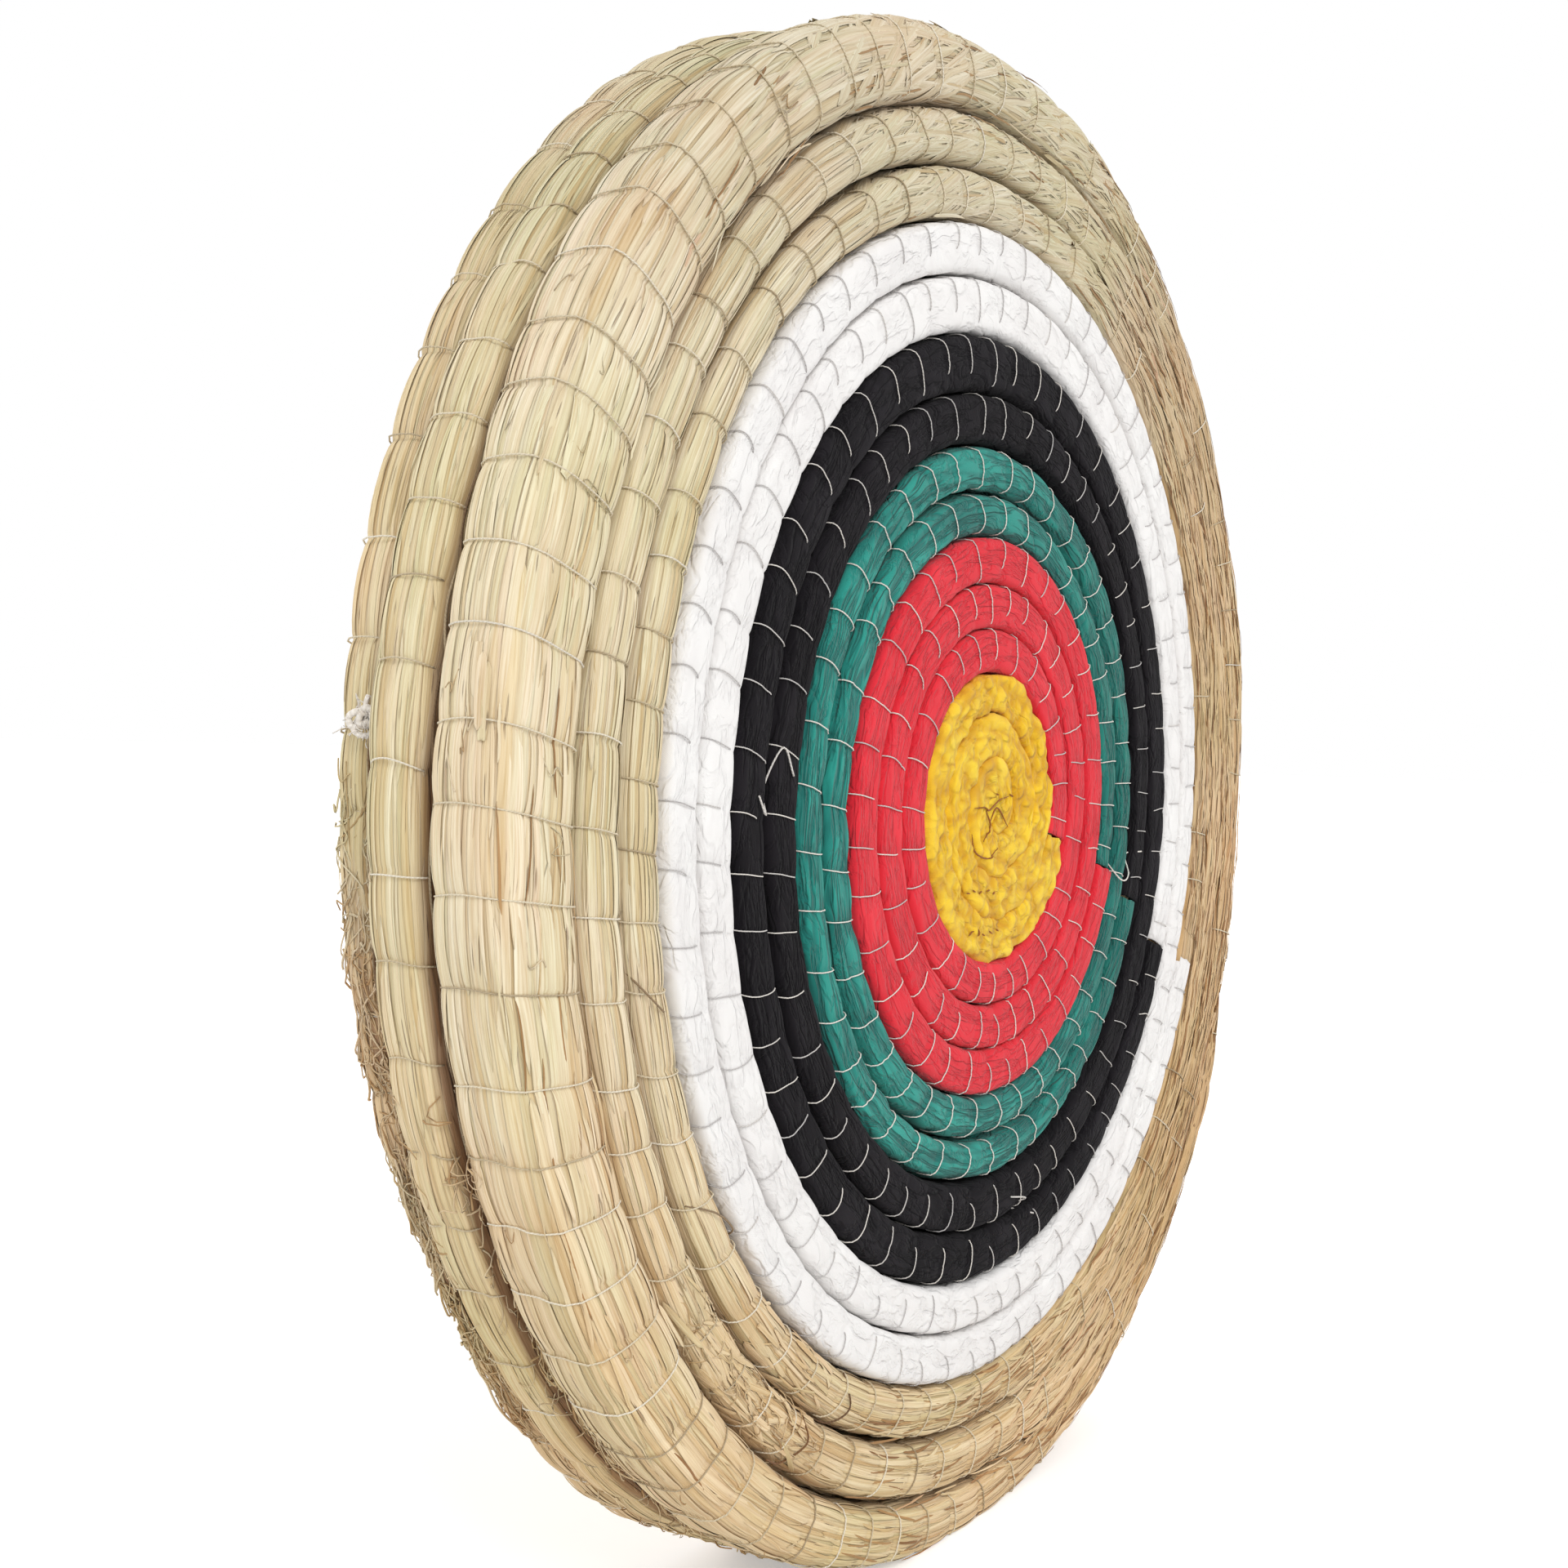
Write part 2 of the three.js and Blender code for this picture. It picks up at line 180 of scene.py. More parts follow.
def own_origin():
    """Where the coils' plane lies in the shared frame, found from the boxes of two CAD nodes."""
    level = np.radians(LEVEL_ANGLE + 15.0 * np.arange(-48, 24)) - math.radians(SEAM)
    turns = 12 + level / (2 * math.pi)
    turns = turns[(turns > BLACK_STOP) & (turns < WHITE_STOP)]
    mid, out, half, _, _ = rope_at(front, turns)
    edge = mid + out * half[:, None]
    low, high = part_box("white_wrap")
    x = (low[0] + high[0]) / 2 / MM - (edge[:, 0].min() + edge[:, 0].max()) / 2
    z = (low[2] + high[2]) / 2 / MM - (edge[:, 1].min() + edge[:, 1].max()) / 2
    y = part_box("back_rope")[1][1] / MM - back.back
    return np.array([x, y, z])


origin = own_origin()

# Noise

def lattice(ix, iy, seed):
    n = (ix.astype(np.int64) * 374761393 + iy.astype(np.int64) * 668265263 + seed * 974634777) & 0xFFFFFFFF
    n = ((n ^ (n >> 13)) * 1274126177) & 0xFFFFFFFF
    return ((n ^ (n >> 16)) & 0xFFFF) / 32767.5 - 1.0


def noise(x, y, seed):
    """Smooth noise from -1 to 1, about one bump for each unit of x and y."""
    x0, y0 = np.floor(x), np.floor(y)
    fx, fy = smooth(x - x0), smooth(y - y0)
    low = lattice(x0, y0, seed) * (1 - fx) + lattice(x0 + 1, y0, seed) * fx
    high = lattice(x0, y0 + 1, seed) * (1 - fx) + lattice(x0 + 1, y0 + 1, seed) * fx
    return low * (1 - fy) + high * fy


def groove(n, width):
    """1 where the noise n crosses 0."""
    return np.exp(-((n / width) ** 2))


# Relief of each kind of rope: amplitudes and lengths in millimetres

STYLE_VALUES = ("power", "base", "puff", "sharp", "bundles", "ridges", "folds", "fold_across", "fold_along")
STYLES = {
    "straw": (3.3, -0.35, 0.9, 0.36, 0.6, 0.28, 0.0, 0, 0),
    "back": (2.9, -0.4, 1.2, 0.5, 0.7, 0.3, 0.0, 0, 0),
    "white": (6.0, 0.0, 0.75, 0.36, 0.22, 0.04, 0.1, 8, 14),
    "black": (5.5, 0.1, 0.7, 0.4, 0.3, 0.08, 0.35, 9, 30),
    "green": (4.2, 0.0, 0.8, 0.42, 0.5, 0.1, 0.9, 8, 38),
    "red": (8.5, 0.3, 0.45, 0.4, 0.3, 0.06, 0.35, 7, 26),
    "gold": (7.5, 0.4, 0.15, 0.5, 0.6, 0.1, 0.7, 9, 7),
}
STYLES = {style: dict(zip(STYLE_VALUES, row)) for style, row in STYLES.items()}
DIMPLES = {"gold": 0.85}
# By angle round the coil, how far a stitch leans and bows along the rope
SLANTS = (
    [-180, -155, -110, -70, -40, -10, 18, 60, 110, 140, 165, 180],
    [0.2, 0.4, 0.3, 0.0, -0.25, 0.0, 0.25, 0.05, -0.25, -0.1, 0.05, 0.2],
)
CURVES = (
    [-180, -160, -135, -90, -45, 0, 45, 90, 140, 165, 180],
    [-0.4, 0.7, 2.1, 2.9, 1.2, 0.0, -1.4, -2.4, -1.8, -1.0, -0.4],
)
# Millimetres of the rope's skin for each radian round it
GIRTH = 10.0


def turn_share(degrees):
    """How far round from the seam an angle lies, as a share of a turn."""
    return (degrees - SEAM) % 360.0 / 360.0


def by_angle(table, u):
    return np.interp((SEAM + 360.0 * u + 180.0) % 360.0 - 180.0, *table)


def sewn_places(coil, from_u, to_u, pitch):
    """Distances along the rope at which a thread crosses it."""
    places = [coil.arc(from_u) + pitch * 0.5]
    stop = coil.arc(to_u)
    while places[-1] + pitch * 1.4 < stop:
        places.append(places[-1] + pitch * rng.uniform(0.85, 1.15))
    return places


def sunk(coil, mid, style):
    """How far the bare ropes of the face have merged: 0 on the left, 1 on the right."""
    return smooth((mid[..., 0] - 5.0) / 70.0) * float(coil is front and style == "straw")


def relief(coil, arc, phi, across, style, seed, merged):
    """How far the rope's skin stands out, how much painted shade it takes in folds, dips and beside the
    stitches, and how hard a stitch pinches it.
    """
    s, sewn = STYLES[style], coil.sewn
    along = arc + by_angle(SLANTS, coil.turns(arc)) * across
    after = np.clip(np.searchsorted(sewn, along), 1, len(sewn) - 1)
    share = np.clip((along - sewn[after - 1]) / (sewn[after] - sewn[after - 1]), 0, 1)
    pinch = (1 - np.sin(np.pi * share) ** s["sharp"]) * (1 - 0.55 * merged)
    girth = phi * GIRTH
    push = s["base"] + 0.35 * merged - s["puff"] * pinch
    push += s["bundles"] * noise(girth / 9 + 50, arc / 60, seed)
    push += s["ridges"] * noise(girth / 3.1 + 50, arc / 45, seed + 1)
    push += s["ridges"] * 0.6 * noise(girth / 1.7 + 50, arc / 30, seed + 2)
    fold = np.zeros_like(push)
    if style in DIMPLES:
        dimple = noise(girth / 4.4 + 30, arc / 5.2, seed + 7)
        dimple = dimple + 0.6 * noise(girth / 2.2 + 30, arc / 2.8, seed + 8)
        lump = np.clip(noise(girth * 0, arc / 8, seed + 9) + 0.3, 0, 1)
        push += DIMPLES[style] * dimple
        push += 1.6 * smooth(np.abs(np.cos(phi)) * 2.2 - 1.1) * lump
        # Painted shade in the dips between the dimples
        fold = np.clip(-dimple * 1.3 - 0.25, 0, 1)
    if s["folds"]:
        a = noise(girth / s["fold_across"] + 50, arc / s["fold_along"], seed + 3)
        b = noise(girth / s["fold_across"] * 1.7 + 80, arc / s["fold_along"] * 1.6, seed + 4)
        fold = np.maximum(fold, np.maximum(groove(a, 0.16), 0.7 * groove(b, 0.16)))
        push += s["folds"] * (0.35 * a - 0.8 * fold)
    return push, np.clip(pinch * 0.35 + fold, 0, 1), pinch


def in_frame(point, deep):
    """Points of the coils' plane, deep behind the face, in metres in the shared frame."""
    row = np.stack([point[..., 0] + origin[0], deep + origin[1], point[..., 1] + origin[2]], axis=-1)
    return row * MM


# Painted shade: the rims darken towards the next coil from this share of the half depth on, and sooner low on
# the left
REACH, LOW_REACH = 0.84, 0.2
# Swells in degrees: where the rims' painted shade starts sooner, and where the back one has patches of
# painted shade
LOW_LEFT, HOLLOWS = (0.0, 228.0, 65.0), (0.0, 206.0, 34.0)


def crease_shading(coil, arc, phi, u, across, deep_share, behind):
    """How much painted shade the skin takes: near the next coil, in patches low on the back rim, and in the
    creases between two turns.
    """
    crease_shade = smooth((np.abs(across) - 0.74) / 0.24)
    degrees = (SEAM + 360.0 * u) % 360.0
    reach = REACH - LOW_REACH * bump(LOW_LEFT, degrees)
    joint_shade = smooth((np.abs(deep_share) - reach) / 0.15) * np.where(coil is middle, 1.0, behind)
    hollow = smooth(0.62 + 1.2 * noise(arc / 15, phi * 2.6 + 40, 91))
    hollow_shade = (coil is back) * hollow * bump(HOLLOWS, degrees) * smooth((0.7 - deep_share) / 0.6)
    outer = (u > coil.last) & (np.cos(phi) > 0)
    return np.where(outer, np.maximum(joint_shade, hollow_shade), 0.36 * crease_shade)


def surface(coil, arc, phi, style, lift=0.0, inset=0.0, seed=SEED, plain=False, pressed=0.0):
    """Points of the rope's skin in metres, and their painted shade: how much of it they take in a crease and
    in a fold.
    """
    s = STYLES[style]
    u = coil.turns(np.clip(arc, 0, coil.length))
    mid, out, half_w, half_d, y = rope_at(coil, u)
    merged = sunk(coil, mid, style)
    power = s["power"] * (1 + 1.3 * merged)
    half_w, half_d = half_w - inset, half_d - inset
    c, n = np.cos(phi), np.sin(phi)
    size = (np.abs(c) ** power + np.abs(n) ** power) ** (-1 / power)
    across, deep = half_w * c * size, half_d * n * size
    na = np.sign(c) * np.abs(c * size) ** (power - 1) / half_w
    nd = np.sign(n) * np.abs(n * size) ** (power - 1) / half_d
    norm = np.hypot(na, nd)
    if plain:
        push, fold, pinch = 0.0, 0.0 * phi, 0.0
    else:
        push, fold, pinch = relief(coil, arc, phi, across, style, seed, merged)
    thin = smooth((coil.end - u) * 12) * 0.8 + 0.2
    push = push * thin + lift * (1 - pressed * pinch)
    across = across + na / norm * push
    deep = deep + nd / norm * push
    row = in_frame(mid + out * across[..., None], y + deep)
    row[..., 2] = np.maximum(row[..., 2], 0.0)
    behind = np.where(coil is back, deep < 0, deep > 0)
    crease_shade = crease_shading(coil, arc, phi, u, c * size, n * size, behind) * (1 - 0.8 * merged)
    return row, np.clip(np.stack([crease_shade, fold], axis=-1), 0, 1)


# Meshes

def quads(grid):
    """The four corners of each cell of a grid, which runs over tubes, rings and sides."""
    here, after = grid[:, :, :-1], grid[:, :, 1:]
    return np.stack([here[:, :-1], after[:, :-1], after[:, 1:], here[:, 1:]], axis=3)


def make(name, parts, material, slot, *nodes):
    """One mesh piece from parts: grids with their uv, shade and tone, and no end caps if caps is False.

    A grid that closes round its sides has one column more in its uv than in its points.
    """
    verts, loops, sizes, uvs, shades, tones = [], [], [], [], [], []
    base = 0
    for part in parts:
        points, uv = part["points"], part["uv"]
        if points.ndim == 3:
            points, uv = points[None], uv[None]
        verts.append(points.reshape(-1, 3))
        index = np.arange(len(verts[-1])).reshape(points.shape[:3]) + base
        closed = uv.shape[2] > points.shape[2]
        if closed:
            index = np.concatenate([index, index[:, :, :1]], axis=2)
        loops.append(quads(index).ravel())
        uvs.append(quads(uv).reshape(-1, 2))
        sizes.append(np.full(loops[-1].size // 4, 4))
        if closed and part.get("caps", True):
            for row, way in ((0, -1), (-1, 1)):
                loops.append(index[:, row, :-1][:, ::way].ravel())
                uvs.append(uv[:, row, :-1][:, ::way].reshape(-1, 2))
                sizes.append(np.full(len(index), points.shape[2]))
        shape = points.shape[:-1]
        shades.append(np.broadcast_to(part.get("shade", np.zeros(2)), (*shape, 2)).reshape(-1, 2))
        tones.append(np.broadcast_to(part.get("tone", 0.5), shape).ravel())
        base += len(verts[-1])
    lists = (verts, loops, sizes, uvs, shades, tones)
    verts, loops, sizes, uvs, shades, tones = (np.concatenate(rows) for rows in lists)
    mesh = bpy.data.meshes.new(name)
    mesh.vertices.add(len(verts))
    mesh.vertices.foreach_set("co", verts.ravel().astype(np.float32))
    mesh.loops.add(len(loops))
    mesh.loops.foreach_set("vertex_index", loops.astype(np.int32))
    mesh.polygons.add(len(sizes))
    mesh.polygons.foreach_set("loop_start", (np.cumsum(sizes) - sizes).astype(np.int32))
    mesh.uv_layers.new(name="rope").data.foreach_set("uv", uvs.ravel().astype(np.float32))
    for label, values in (("crease_shade", shades[:, 0]), ("fold", shades[:, 1]), ("tone", tones)):
        mesh.attributes.new(label, "FLOAT", "POINT").data.foreach_set("value", values.astype(np.float32))
    mesh.polygons.foreach_set("use_smooth", np.ones(len(sizes), dtype=bool))
    mesh.update(calc_edges=True)
    mesh.validate()
    mesh.materials.append(material)
    piece = bpy.data.objects.new(name, mesh)
    bpy.context.scene.collection.objects.link(piece)
    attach(piece, "root")
    if nodes:
        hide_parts(*nodes)
    return piece


# Places of the rope's sections, as shares of the way from one stitch to the next
INTERVAL = np.array([0.0, 0.07, 0.19, 0.35, 0.5, 0.65, 0.81, 0.93])


def ring_places(coil, from_arc, to_arc):
    places = (coil.sewn[:-1, None] + np.diff(coil.sewn)[:, None] * INTERVAL).ravel()
    places = places[(places > from_arc + 1) & (places < to_arc - 1)]
    return np.concatenate([[from_arc], places, [to_arc]])


def around(front_count, side_count, shown):
    """Angles round the rope's section, close together where it shows."""
    low, high = shown
    seen = np.linspace(low, high, front_count)
    rest = np.linspace(high, low + 2 * np.pi, side_count + 2)[1:-1]
    return np.concatenate([seen, rest])


def slanted(coil, along, phi):
    """Distances along the rope of points that lean as the stitches do."""
    u = coil.turns(np.clip(along, 0, coil.length))
    return along - by_angle(SLANTS, u) * rope_at(coil, u)[2] * np.cos(phi)


def rope_grid(coil, places, phis, style, ragged=0.0, **more):
    """A rope's skin, swept through the given places, with its end torn by ragged millimetres."""
    along, phi = np.meshgrid(places, phis, indexing="ij")
    arc = slanted(coil, along, phi)
    if ragged:
        arc = np.clip(arc, places[0], places[-1])
        arc[-1] += ragged * noise(phi[-1] * 2, phi[-1] * 0, 5)
        arc[0] = places[0]
    arc = np.clip(arc, 0, coil.length)
    points, shade = surface(coil, arc, phi, style, **more)
    wide = np.concatenate([phi, phi[:, :1] + 2 * np.pi], axis=1)
    along = np.concatenate([arc, arc[:, :1]], axis=1)
    return dict(points=points, uv=np.stack([along, wide * GIRTH], axis=-1) * MM, shade=shade)


def tubes(paths, radius, sides, toward, tone=0.5):
    """Round threads along one or many paths, toward being a vector across each path."""
    paths = paths[None] if paths.ndim == 2 else paths
    tangent = np.gradient(paths, axis=1)
    tangent /= np.linalg.norm(tangent, axis=-1, keepdims=True) + 1e-12
    first = np.cross(np.cross(tangent, toward), tangent)
    first /= np.linalg.norm(first, axis=-1, keepdims=True) + 1e-12
    second = np.cross(tangent, first)
    turn = np.arange(sides) * 2 * np.pi / sides
    radius = np.broadcast_to(np.asarray(radius, float), paths.shape[:2])[..., None, None]
    ring = first[:, :, None] * np.cos(turn)[:, None] + second[:, :, None] * np.sin(turn)[:, None]
    points = paths[:, :, None] + ring * radius
    step = np.linalg.norm(np.diff(paths, axis=1), axis=-1)
    along = np.concatenate([np.zeros((len(paths), 1)), np.cumsum(step, axis=1)], axis=1)
    around_it = np.arange(sides + 1) * 2 * np.pi / sides * 0.0005
    uv = np.stack(np.broadcast_arrays(along[:, :, None], around_it[None, None]), axis=-1)
    tone = np.broadcast_to(np.asarray(tone, float).reshape(-1, 1, 1), points.shape[:3])
    return dict(points=points, uv=uv, tone=tone)


# How far a stitch stands proud of straw and of cloth
PROUD, CLOTH_PROUD = 0.5, 0.28


def stitches(coil, styles_of, points=14, sides=5):
    """Threads that cross the rope at each sewn place: (style, from, to, inner end, outer end, tones)."""
    share = np.linspace(0, 1, points)
    parts = []
    for style, from_u, to_u, inner_end, outer_end, tones in styles_of:
        radius = THICKNESS.get(style, THREAD)
        low, high = coil.arc((from_u, to_u))
        own = coil.sewn[(coil.sewn > low + 2) & (coil.sewn < high - 2)]
        unseen = sunk(coil, rope_at(coil, coil.turns(own))[0], style) * 0.6
        kept = own[rng.random(len(own)) > unseen][:, None]
        each = kept.shape
        start = rng.uniform(*inner_end, each)
        phi = start + (rng.uniform(*outer_end, each) - start) * share
        bow = by_angle(CURVES, coil.turns(kept)) * (coil is front) + rng.normal(0, 0.5, each)
        arc = slanted(coil, kept, phi) + bow * np.sin(np.pi * share)
        arc = arc + rng.normal(0, 0.5, each) * (share - 0.5)
        dive = -1.0 * (2 * np.abs(share - 0.5)) ** 10
        proud = PROUD if style in ("straw", "back") else CLOTH_PROUD
        path, _ = surface(coil, arc, phi, style, lift=radius * 0.6 + proud + dive)
        ahead, _ = surface(coil, arc + 1.0, phi, style, plain=True)
        here, _ = surface(coil, arc, phi, style, plain=True)
        parts.append(tubes(path, radius * MM, sides, ahead - here, rng.uniform(*tones, len(kept))))
    return parts


def ribbon_sides(width, share):
    """The two edges and the middle of a straw that narrows at both ends, as angles, and its slimness."""
    side = np.array([-1.0, 0.0, 1.0])[None, None]
    slim = (1 - np.abs(2 * share - 1) ** 5) ** 0.5 * 0.92 + 0.08
    return side, slim, side * width * slim / 2 / GIRTH


def ribbons(points, shade, tone, along, across):
    """A part of flat straws. Along and across are the straws' own coordinates in metres."""
    uv = np.stack(np.broadcast_arrays(along, across), axis=-1)
    return dict(points=points, uv=uv, shade=shade, tone=np.broadcast_to(tone, points.shape[:3]))


def straw_widths(widths, each):
    """Widths between two limits, mostly near the first one."""
    return widths[0] + (widths[1] - widths[0]) * rng.random(each) ** 1.8


def span(coil, degrees, last=None):
    """Turns at which two angles are met on the turn after last, or else on the rim."""
    last = coil.last if last is None else last
    return tuple(last + turn_share(angle) for angle in degrees)


# Share of the long straws with a free end, and how much of the painted crease shade those on the back rim
# take
FREE_SHARE, BACK_SHADE = 0.07, 0.45


def strips(coil, span_u, span_phi, count, widths, points, style="straw", seed=SEED, twist=0.0):
    """Flat straws that lie along the rope from ring to ring, pressed down by the stitches."""
    each = (count, 1, 1)
    rings = ring_places(coil, *coil.arc(span_u))
    points = min(points, len(rings))
    first = rng.integers(0, len(rings) - points + 1, each)
    along = rings[first + np.arange(points)[None, :, None]]
    share = np.linspace(0, 1, points)[None, :, None]
    width = straw_widths(widths, each)
    side, slim, edges = ribbon_sides(width, share)
    turn = twist * rng.uniform(0.7, 1.2, each) + rng.normal(0, 0.09, each)
    phi = rng.uniform(*span_phi, each) + turn * (share - 0.5)
    phi = phi + rng.normal(0, 0.03, each) * np.sin(share * rng.uniform(3, 9, each)) + edges
    arc = np.clip(slanted(coil, along, phi), 0, coil.length)
    free = (rng.random(each) < FREE_SHARE) * rng.uniform(0.4, 1.8, each)
    tip = free * np.clip(share * 5 - 4, 0, 1) ** 2 - 0.3 * (1 - slim)
    height = rng.uniform(0.2, 0.42, each) + (0.12 + 0.04 * width) * (1 - side**2) + tip
    spots, shade = surface(coil, arc, phi, style, lift=height, seed=seed, pressed=0.7)
    tone = np.clip(rng.normal(0.5, 0.13, each), 0.16, 1)
    offset = rng.uniform(0, 1, each)
    shade_kept = BACK_SHADE if style == "back" else 1.0
    return ribbons(spots, shade * shade_kept, tone, arc * MM + offset, side * width * MM / 2 + offset * 3)


# Turns of the face's bare ropes, inside and at the rim, and the mean radius there
FIRST_BARE, RIM_TURN, BARE_RADIUS = 12, 14, 210.0


def bridges(count, degrees, bands, widths, lengths, tilt, gap_shade_share):
    """Short straws that lie aslant over the face's bare ropes and over the creases between them. A share of
    them, narrow and dark, are painted shade of the gaps between straws.
    """
    each = (count, 1, 1)
    share = np.linspace(0, 1, 13)[None, :, None]
    length = rng.uniform(*lengths, each)
    width = straw_widths(widths, each)
    # Narrow dark straws: painted shade of the gaps between straws
    gap_shade = rng.random(each) < gap_shade_share
    width = np.where(gap_shade, np.minimum(width, 0.7), width)
    side, slim, _ = ribbon_sides(width, share)
    half = side * width * slim / 2
    angle = np.radians(rng.uniform(*degrees, each))
    lean = rng.normal(0, tilt, each) + rng.normal(0, 0.1, each) * (share - 0.5)
    run = length * (share - 0.5)
    start = turn_share(np.degrees(angle))
    low, high = front.edge(bands[0] + start) + 1.0, front.edge(bands[1] + start) - 1.0
    radius = low + (high - low) * rng.random(each) + run * np.sin(lean) + half * np.cos(lean)
    angle = angle + (run * np.cos(lean) - half * np.sin(lean)) / BARE_RADIUS
    part = turn_share(np.degrees(angle))
    edges = [front.edge(turn + part) for turn in range(FIRST_BARE - 1, RIM_TURN + 1)]
    radius = np.clip(radius, edges[0] + 0.8, edges[-1] - 0.8)
    u = FIRST_BARE + (radius > edges[1]) + (radius > edges[2]) + part
    inner, outer = front.edge(u - 1), front.edge(u)
    exact = 2 * (radius - inner) / (outer - inner) - 1
    across = np.clip(exact, -0.8, 0.8)
    mid, out, half_w, _, _ = rope_at(front, u)
    power = STYLES["straw"]["power"] * (1 + 1.3 * sunk(front, mid, "straw"))
    phi = -np.arctan2((1 - np.abs(across) ** power) ** (1 / power), across)
    free = (rng.random(each) < 0.02) * rng.uniform(0.3, 1.0, each)
    height = rng.uniform(0.2, 0.5, each) + (0.12 + 0.04 * width) * (1 - side**2)
    height = height + free * np.clip(share * 5 - 4, 0, 1) ** 2 - 0.35 * (1 - slim)
    spots, shade = surface(front, front.arc(u), phi, "straw", lift=height, pressed=0.5)
    flat = mid + out * (exact * (half_w + ROPE_GAP / 2))[..., None]
    spots[..., 0], spots[..., 2] = (flat[..., 0] + origin[0]) * MM, (flat[..., 1] + origin[2]) * MM
    tone = np.clip(rng.normal(0.5, 0.2, each), 0.1, 1)
    tone = np.where(gap_shade, rng.uniform(0, 0.06, each), tone)
    offset = rng.uniform(0, 1, each)
    return ribbons(spots, shade * 0.5, tone, run * MM + offset, half * MM + offset * 3)


def tufts(coil, span_u, span_phi, count, widths, lengths, askew=0.4):
    """Short straws that lie askew over the rope and end in the air."""
    each = (count, 1, 1)
    share = np.linspace(0, 1, 13)[None, :, None]
    low, high = coil.arc(span_u)
    length = rng.uniform(*lengths, each)
    width = rng.uniform(*widths, each)
    side, slim, edges = ribbon_sides(width, share)
    arc = np.clip(rng.uniform(low, high, each) + length * (share - 0.5) + 0 * side, low, high)
    phi = rng.uniform(*span_phi, each) + rng.normal(0, askew, each) * (share - 0.5) + edges
    free = rng.uniform(-0.3, 1.0, each) * np.clip(share * 4 - 3, 0, 1) ** 2
    height = rng.uniform(0.3, 0.8, each) + 0.25 * (1 - side**2) + free - 0.5 * (1 - slim)
    spots, shade = surface(coil, arc, phi, "straw", lift=height)
    tone = rng.uniform(0.16, 0.9, each)
    return ribbons(spots, shade, tone, arc * MM + tone * 0.7, side * width * MM / 2 + tone * 3)


HAIR_TONES = [0.08, 0.12, 0.3, 0.45, 0.5, 0.72, 0.8]


def hairs(coil, span_u, span_phi, count, lengths, rise, thick=(0.12, 0.26)):
    """Loose fibres that leave the rope and curl back to it."""
    each = (count, 1)
    share = np.linspace(0, 1, 9)[None]
    start = rng.uniform(*coil.arc(span_u), each)
    length = rng.uniform(*lengths, each)
    turn = rng.uniform(-1, 1, each)
    arc = start + length * share * np.cos(turn) + 3 * np.sin(share * rng.uniform(2, 6, each))
    phi = rng.uniform(*span_phi, each) + length * np.sin(turn) * share / GIRTH * 0.6
    phi = phi + rng.normal(0, 0.12, each) * np.sin(share * rng.uniform(3, 9, each))
    lift = rng.uniform(*rise, each) * np.sin(np.pi * share * rng.uniform(0.55, 1.0, each))
    path, _ = surface(coil, np.clip(arc, 0, coil.length), phi, "straw", lift=lift + 0.25)
    tone = rng.choice(HAIR_TONES, count)
    return tubes(path, rng.uniform(*thick, each) * MM, 4, rng.normal(0, 1, (count, 1, 3)), tone)


def smooth_path(points, count):
    """A smooth line through points, by a Catmull-Rom spline."""
    p = np.array(points, float)
    p = np.concatenate([[2 * p[0] - p[1]], p, [2 * p[-1] - p[-2]]])
    at = np.linspace(0, len(points) - 1 - 1e-6, count)
    k = at.astype(int)
    t = (at - k)[:, None]
    a, b, c, d = p[k], p[k + 1], p[k + 2], p[k + 3]
    return 0.5 * (2 * b + (c - a) * t + (2 * a - 5 * b + 4 * c - d) * t**2 + (3 * b - a - 3 * c + d) * t**3)


# Radii of the wandering fibres, the lacing and the thread ends
WANDERER, LACE, TAIL = 0.24, 0.4, 0.3


def wanderer(coil, span_u, sides_at, pitch, tone):
    """One long fibre that wanders to and fro over the rope."""
    arcs = np.arange(*coil.arc(span_u), pitch)
    phis = np.where(np.arange(len(arcs)) % 2, *sides_at) + rng.normal(0, 0.4, len(arcs))
    arcs = arcs + rng.normal(0, pitch * 0.5, len(arcs))
    line = smooth_path(np.stack([arcs, phis], axis=-1), len(arcs) * 6)
    path, _ = surface(coil, line[:, 0], line[:, 1], "back", lift=0.7)
    return tubes(path, WANDERER * MM, 4, (0.4, 0.2, 1.0), tone)


# Materials

WHITE = (255, 255, 255)


def linear(colour):
    """Linear colour from the 0 to 255 values of a screen colour."""
    return tuple(((v / 255 + 0.055) / 1.055) ** 2.4 if v > 10 else v / 255 / 12.92 for v in colour) + (1.0,)


class Nodes:
    """A node tree under construction. Colours are given as screen colours or sockets."""

    def __init__(self, owner):
        owner.use_nodes = True
        self.tree = owner.node_tree
        self.tree.nodes.clear()

    def node(self, kind, inputs=None, **settings):
        made = self.tree.nodes.new("ShaderNode" + kind)
        for key, value in settings.items():
            setattr(made, key, value)
        for key, value in (inputs or {}).items():
            if isinstance(value, bpy.types.NodeSocket):
                self.tree.links.new(value, made.inputs[key])
            else:
                made.inputs[key].default_value = linear(value) if isinstance(value, tuple) else value
        return made

    def math(self, operation, a, b=0.0):
        return self.node("Math", {0: a, 1: b}, operation=operation).outputs[0]

    def plus(self, a, b):
        return self.math("ADD", a, b)

    def minus(self, a, b):
        return self.math("SUBTRACT", a, b)

    def times(self, a, b):
        return self.math("MULTIPLY", a, b)


